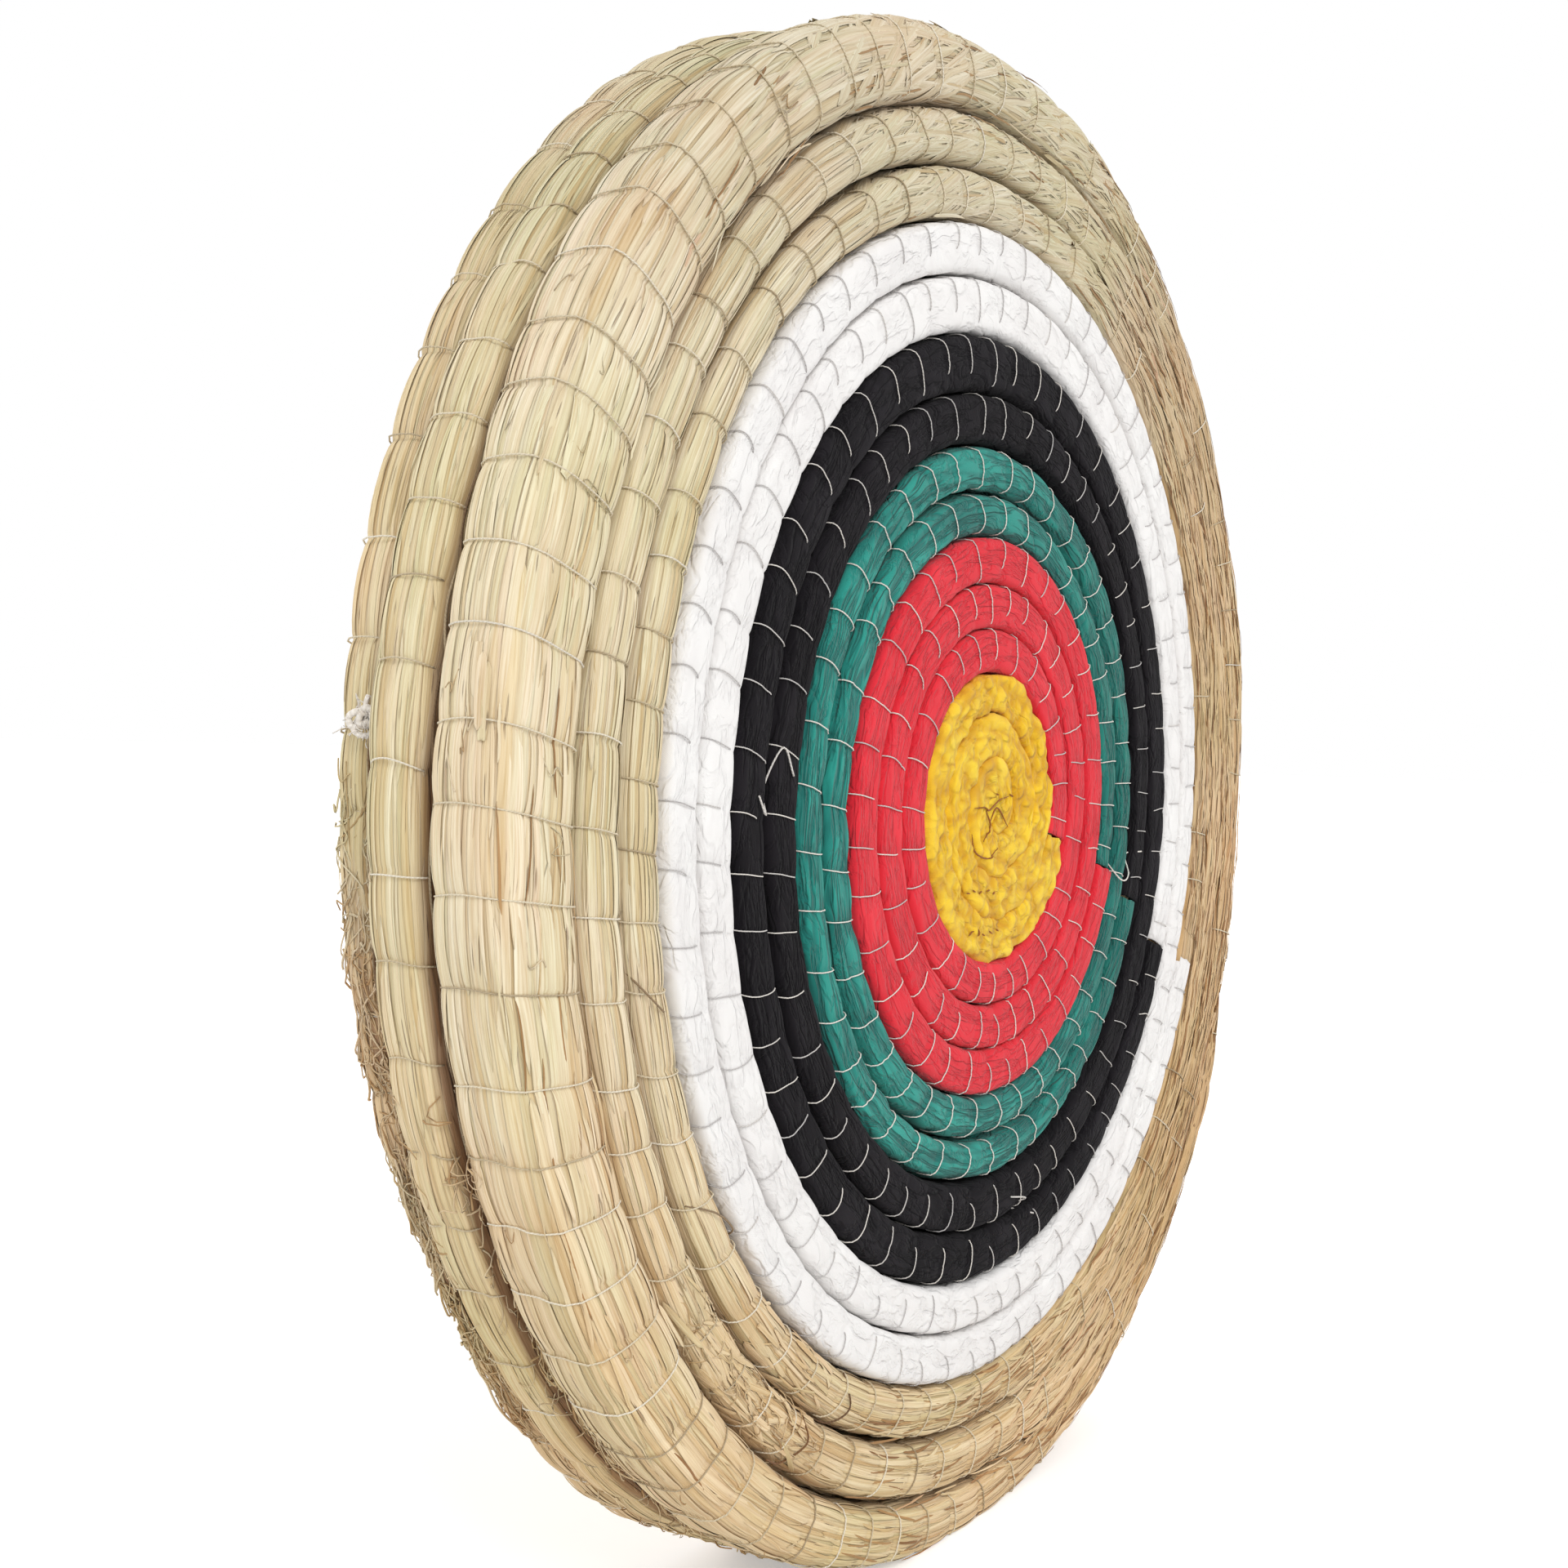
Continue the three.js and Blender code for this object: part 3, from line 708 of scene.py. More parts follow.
class Paint(Nodes):
    """A material under construction."""

    def __init__(self, name):
        self.material = bpy.data.materials.new(name)
        super().__init__(self.material)
        self.along, self.round = self.split(self.node("UVMap", uv_map="rope").outputs[0])[:2]
        self.place = self.node("TexCoord").outputs["Object"]

    def split(self, vector):
        return self.node("SeparateXYZ", {0: vector}).outputs

    def attribute(self, name):
        return self.node("Attribute", attribute_name=name).outputs["Fac"]

    def vector(self, along, across, shift=None):
        """The rope's own coordinates, each counted in the given number per metre."""
        x, y = self.times(self.along, along), self.times(self.round, across)
        if shift is not None:
            y = self.plus(y, shift)
        return self.node("CombineXYZ", {0: x, 1: y}).outputs[0]

    def noise(self, vector, scale=1.0, detail=2.0, rough=0.5, distortion=0.0):
        inputs = {"Vector": vector, "Scale": scale, "Detail": detail, "Roughness": rough}
        inputs["Distortion"] = distortion
        return self.node("TexNoise", inputs).outputs["Fac"]

    def cells(self, vector, feature="F1", **more):
        inputs = {"Vector": vector, "Scale": 1.0, **more}
        return self.node("TexVoronoi", inputs, voronoi_dimensions="2D", feature=feature).outputs

    def ramp(self, value, stops):
        made = self.node("ValToRGB", {0: value})
        ramp = made.color_ramp
        for i, (at, colour) in enumerate(stops):
            element = ramp.elements[i] if i < 2 else ramp.elements.new(at)
            element.position, element.color = at, linear(colour)
        return made.outputs[0]

    def range(self, value, low, high, to_low=0.0, to_high=1.0):
        inputs = {0: value, 1: low, 2: high, 3: to_low, 4: to_high}
        return self.node("MapRange", inputs, interpolation_type="SMOOTHSTEP").outputs[0]

    def mix(self, share, a, b, blend="MIX"):
        inputs = {0: share, 6: a, 7: b}
        return self.node("Mix", inputs, data_type="RGBA", blend_type=blend).outputs[2]

    def tint(self, share, colour, by):
        """The colour multiplied by another one, as far as share says."""
        return self.mix(share, colour, by, "MULTIPLY")

    def finish(self, colour, height, distance, roughness, sheen=0.0, specular=0.3):
        bump = self.node("Bump", {"Height": height, "Strength": 1.0, "Distance": distance})
        shader = self.node("BsdfPrincipled", {
            "Base Color": colour, "Normal": bump.outputs[0], "Roughness": roughness, "Sheen Weight": sheen,
            "Sheen Roughness": 0.6, "Specular IOR Level": specular,
        })
        self.node("OutputMaterial", {0: shader.outputs[0]})
        return self.material


STRAWS = [
    (0.0, (150, 112, 70)),
    (0.05, (196, 160, 114)),
    (0.12, (224, 200, 158)),
    (0.25, (238, 222, 184)),
    (0.45, (249, 238, 212)),
    (0.6, (238, 229, 196)),
    (0.75, (246, 230, 202)),
    (0.88, (230, 222, 186)),
    (0.97, (240, 212, 184)),
]


def straw_paint(name, single, cast=WHITE):
    """Dry straw in long strips. In single straws the tone comes from the mesh."""
    p = Paint(name)
    warp = p.times(p.noise(p.vector(18, 150)), 1.6)
    straws = p.vector(15, 560, warp)
    edge = p.cells(straws, "DISTANCE_TO_EDGE")["Distance"]
    if single:
        tone = p.attribute("tone")
    else:
        tone = p.range(p.split(p.cells(straws)["Color"])[0], 0.0, 1.0, 0.16, 0.92)
    colour = p.tint(1.0, p.ramp(tone, STRAWS), cast)
    x, _, z = p.split(p.place)
    right = p.range(x, 0.01, 0.12)
    fibre = p.noise(p.vector(34, 2400), 1.0, 3.0, 0.65)
    broad = p.noise(p.vector(20, 800))
    patch = p.noise(p.place, 16.0)
    colour = p.tint(1.0, colour, p.ramp(fibre, [(0.3, (230, 218, 198)), (0.56, WHITE)]))
    colour = p.tint(0.5, colour, p.ramp(broad, [(0.3, (214, 194, 168)), (0.6, WHITE)]))
    patches = p.ramp(patch, [(0.3, (236, 242, 218)), (0.5, WHITE), (0.7, (254, 232, 216))])
    colour = p.tint(0.42, colour, patches)
    # Dark slits along the straw and dark lines between the strips: painted shade of the gaps between straws,
    # more and darker towards the right
    slit = p.noise(p.vector(42, 900, warp))
    gap_shade = p.range(p.minus(slit, p.plus(p.times(right, 0.055), 0.34)), 0.0, -0.07)
    if not single:
        gap_shade = p.math("MAXIMUM", gap_shade, p.range(edge, 0.04, 0.0, 0.0, 0.16))
    depth = p.plus(p.times(right, 0.15), 0.55)
    colour = p.mix(p.times(gap_shade, depth), colour, (146, 104, 66))
    # Browner towards the right and greyer towards the top, and painted shade towards the bottom
    colour = p.tint(p.range(x, 0.02, 0.2, 0.0, 0.7), colour, (224, 196, 164))
    colour = p.tint(p.range(z, 0.3, 0.46), colour, (232, 234, 236))
    colour = p.tint(p.range(z, 0.24, 0.06), colour, (248, 238, 222))
    # Painted shade in the creases, beside the next coil and in the folds, and by the stitches
    colour = p.tint(p.times(p.attribute("crease_shade"), 0.85), colour, (136, 92, 66))
    colour = p.tint(p.times(p.attribute("fold"), 0.2), colour, (200, 172, 140))
    height = p.plus(p.times(fibre, 0.7), p.times(broad, 0.8))
    if not single:
        height = p.plus(height, p.times(p.range(edge, 0.0, 0.16), 0.35))
    return p.finish(colour, p.minus(height, gap_shade), 0.00045, 0.74, sheen=0.1, specular=0.25)


WEAVE = 0.00055


def cloth_paint(name, base, shadow, light, folds, fold_depth, wrinkle, depth=0.0006, crease_shade=0.4, quilt=0.0,
                sheen=0.12, far=WHITE):
    """Cotton cloth wound on the rope: folds along it, crumples, and a plain weave."""
    p = Paint(name)
    warp = p.times(p.noise(p.vector(40, 90)), 1.2)
    run = p.noise(p.vector(*folds, warp), 1.0, 3.0, 0.55)
    valley = p.range(p.math("ABSOLUTE", p.minus(run, 0.5)), 0.0, 0.05, 1.0, 0.0)
    crumple = p.noise(p.vector(*wrinkle), 1.0, 4.0, 0.6, 0.6)
    patch = p.noise(p.place, 26.0, 3.0, 0.55)
    colour = p.mix(p.range(patch, 0.35, 0.68), base, light)
    colour = p.tint(p.range(p.split(p.place)[0], 0.03, 0.13), colour, far)
    if quilt:
        quilted = p.vector(quilt, quilt * 0.8, warp)
        dents = p.cells(quilted, "SMOOTH_F1", Smoothness=0.5)["Distance"]
        pucker = p.range(dents, 0.35, 0.75)
        valley = p.times(valley, 0.25)
    else:
        pucker = p.range(p.math("ABSOLUTE", p.minus(crumple, 0.5)), 0.0, 0.06, 1.0, 0.0)
    shadows = [
        p.times(valley, fold_depth),
        p.times(pucker, fold_depth * 0.5),
        p.times(p.attribute("fold"), fold_depth),
        p.times(p.attribute("crease_shade"), crease_shade),
    ]
    for share in shadows:
        colour = p.mix(share, colour, shadow)
    warps, wefts = (p.math("SINE", p.times(way, 2 * math.pi / WEAVE)) for way in (p.along, p.round))
    nap = p.noise(p.vector(2400, 2400), 1.0, 2.0, 0.6)
    grain = p.plus(p.times(p.times(warps, wefts), 0.16), p.times(nap, 0.5))
    colour = p.tint(0.3, colour, p.ramp(grain, [(0.05, (228, 224, 222)), (0.42, WHITE)]))
    height = p.plus(p.minus(p.times(run, 1.2), valley), p.times(crumple, 0.9))
    height = p.plus(p.minus(height, p.times(pucker, 0.6)), p.times(grain, 0.22))
    return p.finish(colour, height, depth, 0.92, sheen=sheen, specular=0.2 if sheen > 0.1 else 0.1)


def thread_paint(name, stops):
    """Twisted cotton thread. Its tone comes from the mesh."""
    p = Paint(name)
    colour = p.ramp(p.attribute("tone"), stops)
    twist = p.math("SINE", p.plus(p.times(p.along, 5200), p.times(p.round, 2000)))
    height = p.plus(p.times(twist, 0.5), p.noise(p.vector(3000, 3000)))
    colour = p.tint(0.3, colour, p.ramp(height, [(0.0, (190, 180, 165)), (0.9, WHITE)]))
    return p.finish(colour, height, 0.00012, 0.8, sheen=0.1, specular=0.25)


GREENISH, BROWNISH = (251, 251, 242), (252, 246, 237)
straw_look = straw_paint("straw_rope", single=False)
strip_look = straw_paint("straw_single", single=True)
middle_look = straw_paint("straw_rope_green", single=False, cast=GREENISH)
middle_strip_look = straw_paint("straw_single_green", single=True, cast=GREENISH)
back_look = straw_paint("straw_rope_brown", single=False, cast=BROWNISH)
back_strip_look = straw_paint("straw_single_brown", single=True, cast=BROWNISH)
# The grey stops at 0.76 and 0.86 are painted shade on white thread, taken by the stitches on the white cloth
# and by some on the red and black
thread_look = thread_paint("sewing_thread", [
    (0.0, (158, 96, 28)), (0.08, (112, 84, 58)), (0.25, (160, 138, 108)), (0.42, (206, 190, 158)),
    (0.6, (232, 220, 194)), (0.7, (240, 232, 214)), (0.76, (188, 184, 184)), (0.86, (206, 203, 202)),
    (0.93, (240, 234, 226)), (1.0, (244, 238, 230)),
])
gold_look = cloth_paint(
    "gold_cloth", (252, 205, 34), (202, 134, 20), (255, 220, 64), (60, 90), 0.6, (80, 90),
    depth=0.0012, crease_shade=0.3, quilt=260)
red_look = cloth_paint(
    "red_cloth", (226, 36, 52), (196, 24, 40), (234, 48, 62), (34, 190), 0.3, (60, 110),
    depth=0.0004, crease_shade=0.25)
green_look = cloth_paint(
    "green_cloth", (34, 146, 133), (16, 92, 87), (48, 162, 148), (16, 150), 0.65, (50, 90),
    depth=0.0007, crease_shade=0.5, far=(206, 200, 198))
black_look = cloth_paint(
    "black_cloth", (24, 21, 25), (13, 11, 14), (34, 31, 35), (26, 150), 0.6, (60, 110), sheen=0.03)
white_look = cloth_paint(
    "white_cloth", (240, 238, 236), (216, 212, 211), (244, 243, 241), (40, 90), 0.16, (60, 90),
    depth=0.0003, crease_shade=0.2)

# Sewing: the turns between which the threads that cross a coil lie a pitch apart
rng = np.random.default_rng(SEED)


def sew(coil, *runs):
    places = [place for from_u, to_u, pitch in runs for place in sewn_places(coil, from_u, to_u, pitch)]
    coil.sewn = np.array([0.0, *places, coil.length])


sew(
    front, (front.start, GOLD_STOP, 13), (GOLD_STOP, 4, 13.5), (4, 5, 14.5), (5, RED_STOP, 16),
    (RED_STOP, GREEN_STOP, 17), (GREEN_STOP, BLACK_STOP, 17), (BLACK_STOP, WHITE_STOP, 17),
    (WHITE_STOP, 14, 20.5), (14, front.end, 21),
)
sew(middle, (14, middle.end, 22))
sew(back, (back.start, 13, 20), (13, back.end, 24))

# Straw ropes
MIDDLE_SEED, BACK_SEED = 31, 51
HALF_FACE, CORE_INSET = (-np.pi, 0), 3.2
bare_arc = front.arc(WHITE_STOP - 0.002)
seen_front = around(30, 6, (-np.pi, 0.55 * np.pi))
bare = rope_grid(front, ring_places(front, bare_arc, front.length), seen_front, "straw")
core_places = np.append(np.arange(0.0, bare_arc - 4, 9.0), bare_arc - 1.5)
core = rope_grid(front, core_places, around(8, 4, HALF_FACE), "straw", inset=CORE_INSET, plain=True)
make("straw_front", [bare, core], straw_look, "straw", "front_rope")

seen_middle = around(26, 8, (-0.62 * np.pi, 0.62 * np.pi))
middle_rim = rope_grid(
    middle, ring_places(middle, 0.0, middle.length), seen_middle, "straw", seed=MIDDLE_SEED)
make("straw_middle", [middle_rim], middle_look, "straw", "middle_rope")
inner_places = np.arange(0.0, middle_core.arc(14) - 3, 7.0)
inner = rope_grid(middle_core, inner_places, around(8, 4, HALF_FACE), "straw", inset=-0.4, plain=True)
make("straw_middle_inner", [inner], straw_look, "straw", "middle_inner_turns")

seen_back = around(22, 6, (-0.35 * np.pi, np.pi))
BACK_PARTS = [
    ("straw_back_inner", 0.0, back.arc(9.0), "straw", straw_look),
    ("straw_back_outer", back.arc(9.0), back.arc(13), "straw", straw_look),
    ("straw_back_rim", back.arc(13), back.length, "back", back_look),
]
for name, low, high, style, look in BACK_PARTS:
    grid = rope_grid(back, ring_places(back, low, high), seen_back, style, seed=BACK_SEED)
    make(name, [grid], look, "straw", "back_rope")

# Cloth wraps: a sleeve with an outer and an inner wall
CLOTH = 1.2
SEAM_GAP = 0.5
PAD_RADIUS = 7.6


def centre_pad():
    """The tucked-in beginning of the gold cloth, a small crumpled pad in the middle of the face."""
    step = np.linspace(0.02, 0.98, 15)[:, None]
    angle = np.arange(28)[None] * 2 * np.pi / 28
    crumple = noise(angle * 2.2 + 9, step * 5, 17)
    radius = PAD_RADIUS * (1 - np.abs(2 * step - 1) ** 3) ** (1 / 3) * (1 + 0.08 * crumple)
    deep = 3.6 - 3.9 * (2 * step - 1) - 0.5 * crumple * step + 0 * angle
    points = in_frame(np.stack([radius * np.cos(angle), radius * np.sin(angle)], axis=-1), deep)
    wide = np.concatenate([angle, [[2 * np.pi]]], axis=1) * 6 + 0 * step
    uv = np.stack([wide, 8 * step + 0 * wide], axis=-1) * MM
    return dict(points=points, uv=uv)


def wrap(style, from_u, to_u, look):
    """A cloth wrap on the front rope."""
    places = ring_places(front, *front.arc((from_u, to_u)))
    walls = [
        rope_grid(front, places, around(28, 6, (-np.pi, 0.0)), style, ragged=0.6, lift=lift)
        for lift in (0.0, -CLOTH)
    ]
    sleeve = {"caps": False}
    for key in ("points", "uv", "shade"):
        loop = np.concatenate([walls[0][key], walls[1][key][::-1]])
        sleeve[key] = np.concatenate([loop, loop[:1]])
    parts = [sleeve, centre_pad()] if style == "gold" else [sleeve]
    piece = make(style + "_cover", parts, look, style + "_cloth", style + "_wrap")
    merge = piece.modifiers.new("close", "WELD")
    merge.merge_threshold = 0.00001


# From the middle out: the turn where each wrap ends, its look and its flat size in metres
COVERS = [
    ("gold", GOLD_STOP, gold_look, (0.074, 0.515)),
    ("red", RED_STOP, red_look, (0.067, 1.335)),
    ("green", GREEN_STOP, green_look, (0.062, 1.36)),
    ("black", BLACK_STOP, black_look, (0.067, 1.75)),
    ("white", WHITE_STOP, white_look, (0.066, 2.185)),
]
cover_from = -0.285
for style, stop, look, strip in COVERS:
    wrap(style, cover_from, stop, look)
    cover_from = front.turns(front.arc(stop) + SEAM_GAP)

# Stitches: on cloth each comes out at the outer crease and goes in before the inner one
THREAD = 0.25
THICKNESS = {"white": 0.19, "black": 0.2, "red": 0.21, "green": 0.22}
CREASE_IN, CREASE_OUT = (-2.95, -2.75), (-0.4, -0.2)
STRAW_TONES = (0.3, 0.72)
front_styles = [
    ("red", GOLD_STOP, RED_STOP, (-2.55, -1.95), (-0.35, -0.1), (0.86, 0.94)),
    ("green", RED_STOP, GREEN_STOP, (-2.9, -2.5), (-0.3, -0.1), (0.95, 1.0)),
    ("black", GREEN_STOP, BLACK_STOP, (-2.4, -1.8), (-0.35, -0.1), (0.86, 0.94)),
    ("white", BLACK_STOP, WHITE_STOP, (-2.4, -1.6), (-0.35, -0.1), (0.8, 0.89)),
    ("straw", WHITE_STOP, 14, CREASE_IN, CREASE_OUT, STRAW_TONES),
    ("straw", 14, front.end, CREASE_IN, (0.8, 1.0), STRAW_TONES),
]
middle_styles = [("straw", 14, middle.end, (-1.1, -0.9), (0.9, 1.1), STRAW_TONES)]
back_styles = [
    ("straw", back.start + 0.2, 13, (2.75, 2.95), (0.2, 0.4), STRAW_TONES),
    ("back", 13, back.end, (2.75, 2.95), (-1.1, -0.9), STRAW_TONES),
]
sewing = stitches(front, front_styles, 16) + stitches(middle, middle_styles)
make("front_stitches", sewing, thread_look, "thread", "front_stitching")
make("back_stitches", stitches(back, back_styles, 16), thread_look, "thread", "back_stitching")


def lacing(name, node, one, other, seed):
    """Two thin threads that wind about each other in the crease between two rims."""
    share = np.linspace(0.03, 0.985, 560)
    ropes = [rope_at(coil, coil.last + share) for coil in (one, other)]
    reach = np.max([np.sum(mid * out, axis=-1) + half * 0.62 for mid, out, half, _, _ in ropes], axis=0)
    out = ropes[0][1]
    arc = np.radians(360 * share) * 250
    paths = []
    for phase in (0.0, np.pi):
        swing = np.sin(arc / 11 + phase + noise(arc / 60, 0 * arc, seed) * 2) * 1.5
        lift = np.cos(arc / 9 + phase) * 0.5 + noise(arc / 25, 0 * arc + 9, seed) * 0.7
        row = in_frame(out * (reach - 0.6 + lift)[:, None], one.back + 0.15 + swing)
        row[:, 2] = np.maximum(row[:, 2], 0.0006)
        paths.append(row)
    part = tubes(np.array(paths), LACE * MM, 5, (0.0, 1.0, 0.0), (0.15, 0.35))
    make(name, [part], thread_look, "thread", node)


lacing("front_lacing_threads", "front_lacing", front, middle, 61)
lacing("back_lacing_threads", "back_lacing", middle, back, 71)

# Single straws over the ropes: limits of width, and how many rings each spans
rng = np.random.default_rng(SEED + 1)
FINE, BROAD, TWISTED = (0.4, 1.2), (0.8, 2.8), (1.2, 3.4)
SHORT, LONG = 13, 33
FACE, WRAPPED = (-np.pi, 0.0), (-np.pi, 0.5 * np.pi)
MIDDLE_SIDE, BACK_SIDE, REAR = (-1.5, 1.5), (-0.9, np.pi), (0, np.pi)


def layers(coil, span_u, span_phi, broad, fine, style="straw", seed=SEED):
    """Broad straws, and fine ones over them."""
    return [
        strips(coil, span_u, span_phi, broad, BROAD, LONG, style, seed),
        strips(coil, span_u, span_phi, fine, FINE, SHORT, style, seed),
    ]


make("straws_front", layers(front, (WHITE_STOP + 0.005, 14), FACE, 420, 520), strip_look, "straw")
ROPES, TUCK = (11, 14), (13, 14)
straws = [
    bridges(1000, (-80, 72), ROPES, (0.5, 1.9), (12, 42), 0.15, 0.24),
    bridges(80, (70, 120), ROPES, (0.5, 1.4), (10, 24), 0.06, 0.4),
    bridges(130, (-110, -76), ROPES, (0.5, 1.2), (12, 30), 0.1, 0.5),
    bridges(120, (125, 250), TUCK, (0.4, 1.4), (8, 26), 0.1, 0.14),
]
make("straws_aslant", straws, strip_look, "straw")
straws = layers(front, (14, front.end), WRAPPED, 420, 420)
for last, phis in ((14, WRAPPED), (13, FACE), (12, FACE)):
    top = span(front, (66, 122), last)
    straws.append(strips(front, top, phis, 150, TWISTED, SHORT, twist=-1.2))
    straws.append(strips(front, top, phis, 90, FINE, SHORT, twist=-1.5))
make("straws_rim", straws, strip_look, "straw")
straws = layers(middle, (14, middle.end), MIDDLE_SIDE, 260, 260, seed=MIDDLE_SEED)
make("straws_middle", straws, middle_strip_look, "straw")
straws = strips(back, (0.6, 13), REAR, 900, BROAD, LONG, seed=BACK_SEED)
make("straws_back", [straws], strip_look, "straw")
straws = layers(back, (13, back.end), BACK_SIDE, 340, 300, "back", BACK_SEED)
make("straws_back_rim", straws, back_strip_look, "straw")

# Loose fibres, most of them low on the left of the rims
loose = [
    hairs(back, span(back, (178, 224)), (-0.7, 0.6), 300, (8, 26), (0.2, 1.3), (0.16, 0.34)),
    wanderer(back, span(back, (184, 214)), (-0.5, 0.4), 6.0, 0.12),
    wanderer(back, span(back, (190, 222)), (-0.4, 0.5), 8.0, 0.3),
    hairs(back, span(back, (186, 250)), (-1.5, -0.6), 150, (5, 16), (0.3, 1.6)),
    hairs(middle, span(middle, (176, 235)), (0.6, 1.3), 40, (5, 18), (0.2, 0.8)),
    hairs(middle, span(middle, (195, 250)), (-1.4, -0.7), 130, (5, 14), (0.4, 2.4)),
    hairs(middle, span(middle, (195, 250)), (0.7, 1.4), 90, (5, 14), (0.4, 2.0)),
    hairs(front, span(front, (198, 250)), (0.6, 1.3), 120, (5, 14), (0.4, 2.4)),
    hairs(front, span(front, (100, 300)), (-2.0, 1.3), 30, (5, 12), (0.2, 0.5)),
    hairs(back, (1, back.end), (0.2, 2.9), 160, (6, 26), (0.2, 1.2)),
]
make("loose_fibres", loose, strip_look, "straw")


def on_face(radius, degrees, lift):
    """A point on the front of the front coil, at a radius and an angle, in metres."""
    turns = turn_share(degrees) + np.arange(front.last + 1)
    u = float(turns[np.searchsorted(front.edge(turns), radius)])
    mid, _, half_w, _, _ = rope_at(front, np.array([u]))
    across = np.clip((radius - np.linalg.norm(mid[0])) / half_w[0], -0.97, 0.97)
    style = "gold" if u < GOLD_STOP else next((s[0] for s in front_styles if u < s[2]), "straw")
    phi = np.array([-math.acos(across)])
    return surface(front, np.array([front.arc(u)]), phi, style, lift=lift)[0][0]


# Loose ends of thread on the face: (radius, degrees, lift) of each point, and the tone
TAILS = [
    ([(130, 176, 0.5), (136, 173, 1.5), (138, 178, 2.2), (144, 181, 1.2), (147, 179, 0.6)], 0.9),
    ([(150, -76, 0.5), (146, -80, 1.6), (140, -79, 2.0), (137, -83, 0.8)], 0.9),
    ([(100, -12, 0.6), (106, -16, 1.8), (112, -14, 2.2), (118, -10, 1.4), (124, -9, 0.6)], 0.95),
    ([(205, 191, 0.5), (201, 194, 1.6), (196, 196, 1.2)], 0.2),
    ([(203, -148.4, 0.5), (196.1, -145.9, 1.8), (192.8, -142.6, 1.6), (190, -140.6, 1.0)], 0.2),
    ([(212, -122.2, 0.6), (217.6, -121.5, 1.4), (224.5, -122.9, 1.2), (229.3, -124.9, 0.7)], 0.06),
    ([(194, -117, 0.6), (202.3, -116, 1.3), (207.2, -117.2, 1.2), (211, -119, 0.6)], 0.08),
]
TOWARD = (0.3, 0.1, 1.0)
tails = []
for points, tone in TAILS:
    path = smooth_path([on_face(*point) for point in points], 26)
    tails.append(tubes(path, TAIL * MM, 5, TOWARD, tone))
# Dark lines of painted shade for the cracks and pinholes round the middle of the gold, as (across, up) in
# millimetres
CRACKS = [
    [(-19, -0.5), (-12, -0.2), (-8.6, -1.2), (-1.4, 2.1), (5.7, 3.4)],
    [(-11, -1.2), (-7.4, -6.4), (-12, -11.6)],
    [(-8, -5.5), (-2.6, -0.5), (5.7, -7)],
    [(-20.5, -9), (-18, -14.8), (-8.6, -17.4), (-1.4, -14)],
    [(-3.4, 4.4), (-1.8, 3.8)], [(6.4, 4.2), (8.8, 3.2)],
    [(-22.9, -28.4), (-20.5, -28.7)], [(-18.6, -27.6), (-16.8, -28.3)], [(-13.9, -29.0), (-12.3, -28.2)],
    [(-8.6, -28.4), (-6.2, -28.1)], [(-4.8, -29.6), (-2.6, -28.9)],
    [(-20.5, -42.7), (-18, -41.2)], [(-16, -43), (-13.5, -41)], [(-11, -42.6), (-9, -43.4)],
    [(-6, -42), (-3.5, -43)], [(-1, -41.6), (1, -42.4)],
]
PAD_FACE = -0.9
CRACK = 0.34
for points in CRACKS:
    path = []
    for x, z in smooth_path(points, 10 * len(points)):
        deep = on_face(math.hypot(x, z), math.degrees(math.atan2(z, x)), 0.3)[1]
        deep = min(deep, (PAD_FACE + origin[1]) * MM)
        path.append([(x + origin[0]) * MM, deep, (z + origin[2]) * MM])
    size = CRACK * np.sin(np.pi * np.linspace(0.12, 0.88, len(path)))
    tails.append(tubes(np.array(path), size * MM, 5, TOWARD, 0.0))
make("thread_tails", tails, thread_look, "thread")

# The knot's cords: (outward, to the side, up) in steps of KNOT_SCALE millimetres, the radius and the tone
KNOT_SCALE = 1.15
KNOT_CORDS = [
    ([(-1.5, 1, 0), (0.8, 3.6, -1.8), (1.0, 6.0, -0.4), (0.9, 5.0, 1.6), (0.6, 2.8, 0.9), (0.4, 1.6, 0.2)],
     0.9, 0.98),
    ([(-1.5, 3.4, 0.6), (0.9, 3.0, -2.2), (1.2, 1.2, -2.4), (1.0, 0.6, 0.2), (0.6, 2.2, 1.0)], 0.9, 0.97),
    ([(-2.4, 1.2, 0.5), (0.6, 2.9, 1.2), (1.3, 3.6, 0.2), (0.9, 3.2, -1.2), (-1.8, 2.6, -2.0)], 0.9, 0.97),
    ([(0.2, 5.6, 0.8), (1.0, 4.2, 2.8), (1.0, 1.6, 3.4), (0.4, -0.8, 2.0), (-0.6, -2.4, 0.4)], 0.75, 0.98),
    ([(0.2, 2.2, -1.0), (0.9, 2.4, -3.2), (0.6, 2.0, -5.4)], 0.7, 1.0),
]


def knot():
    """Soft cord knotted round the back rim: two loops, a band over them, two ends, and lint."""
    low, high = (np.array(c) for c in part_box("rim_knot"))
    centre = (low + high) / 2 + np.array([0.001, -0.003, 0.0])
    angle = math.radians(KNOT_ANGLE)
    out = np.array([math.cos(angle) * 0.9, -0.44, math.sin(angle) * 0.9])
    up = np.array([-math.sin(angle), 0.0, math.cos(angle)])
    axes = np.array([out, np.cross(up, out), up])
    cords = []

    def line(points, radius, tone, count=22):
        world = [centre + np.dot(point, axes) * KNOT_SCALE * MM for point in points]
        cords.append(tubes(smooth_path(world, count), radius * MM, 7, up + 0.2 * out, tone))

    for points, radius, tone in KNOT_CORDS:
        line(points, radius, tone)
    for _ in range(60):
        base = np.array([0.4, 2.8, 0.0]) + rng.normal(0, 1.0, 3) * (0.5, 1.6, 1.6)
        tip = base + rng.normal(0, 1.0, 3) * (0.7, 1.3, 1.8) + (0.5, 0, 0)
        line([base, (base + tip) / 2 + rng.normal(0, 0.5, 3), tip], 0.13, 0.98, 6)
    make("knot", cords, thread_look, "thread", "rim_knot")


knot()

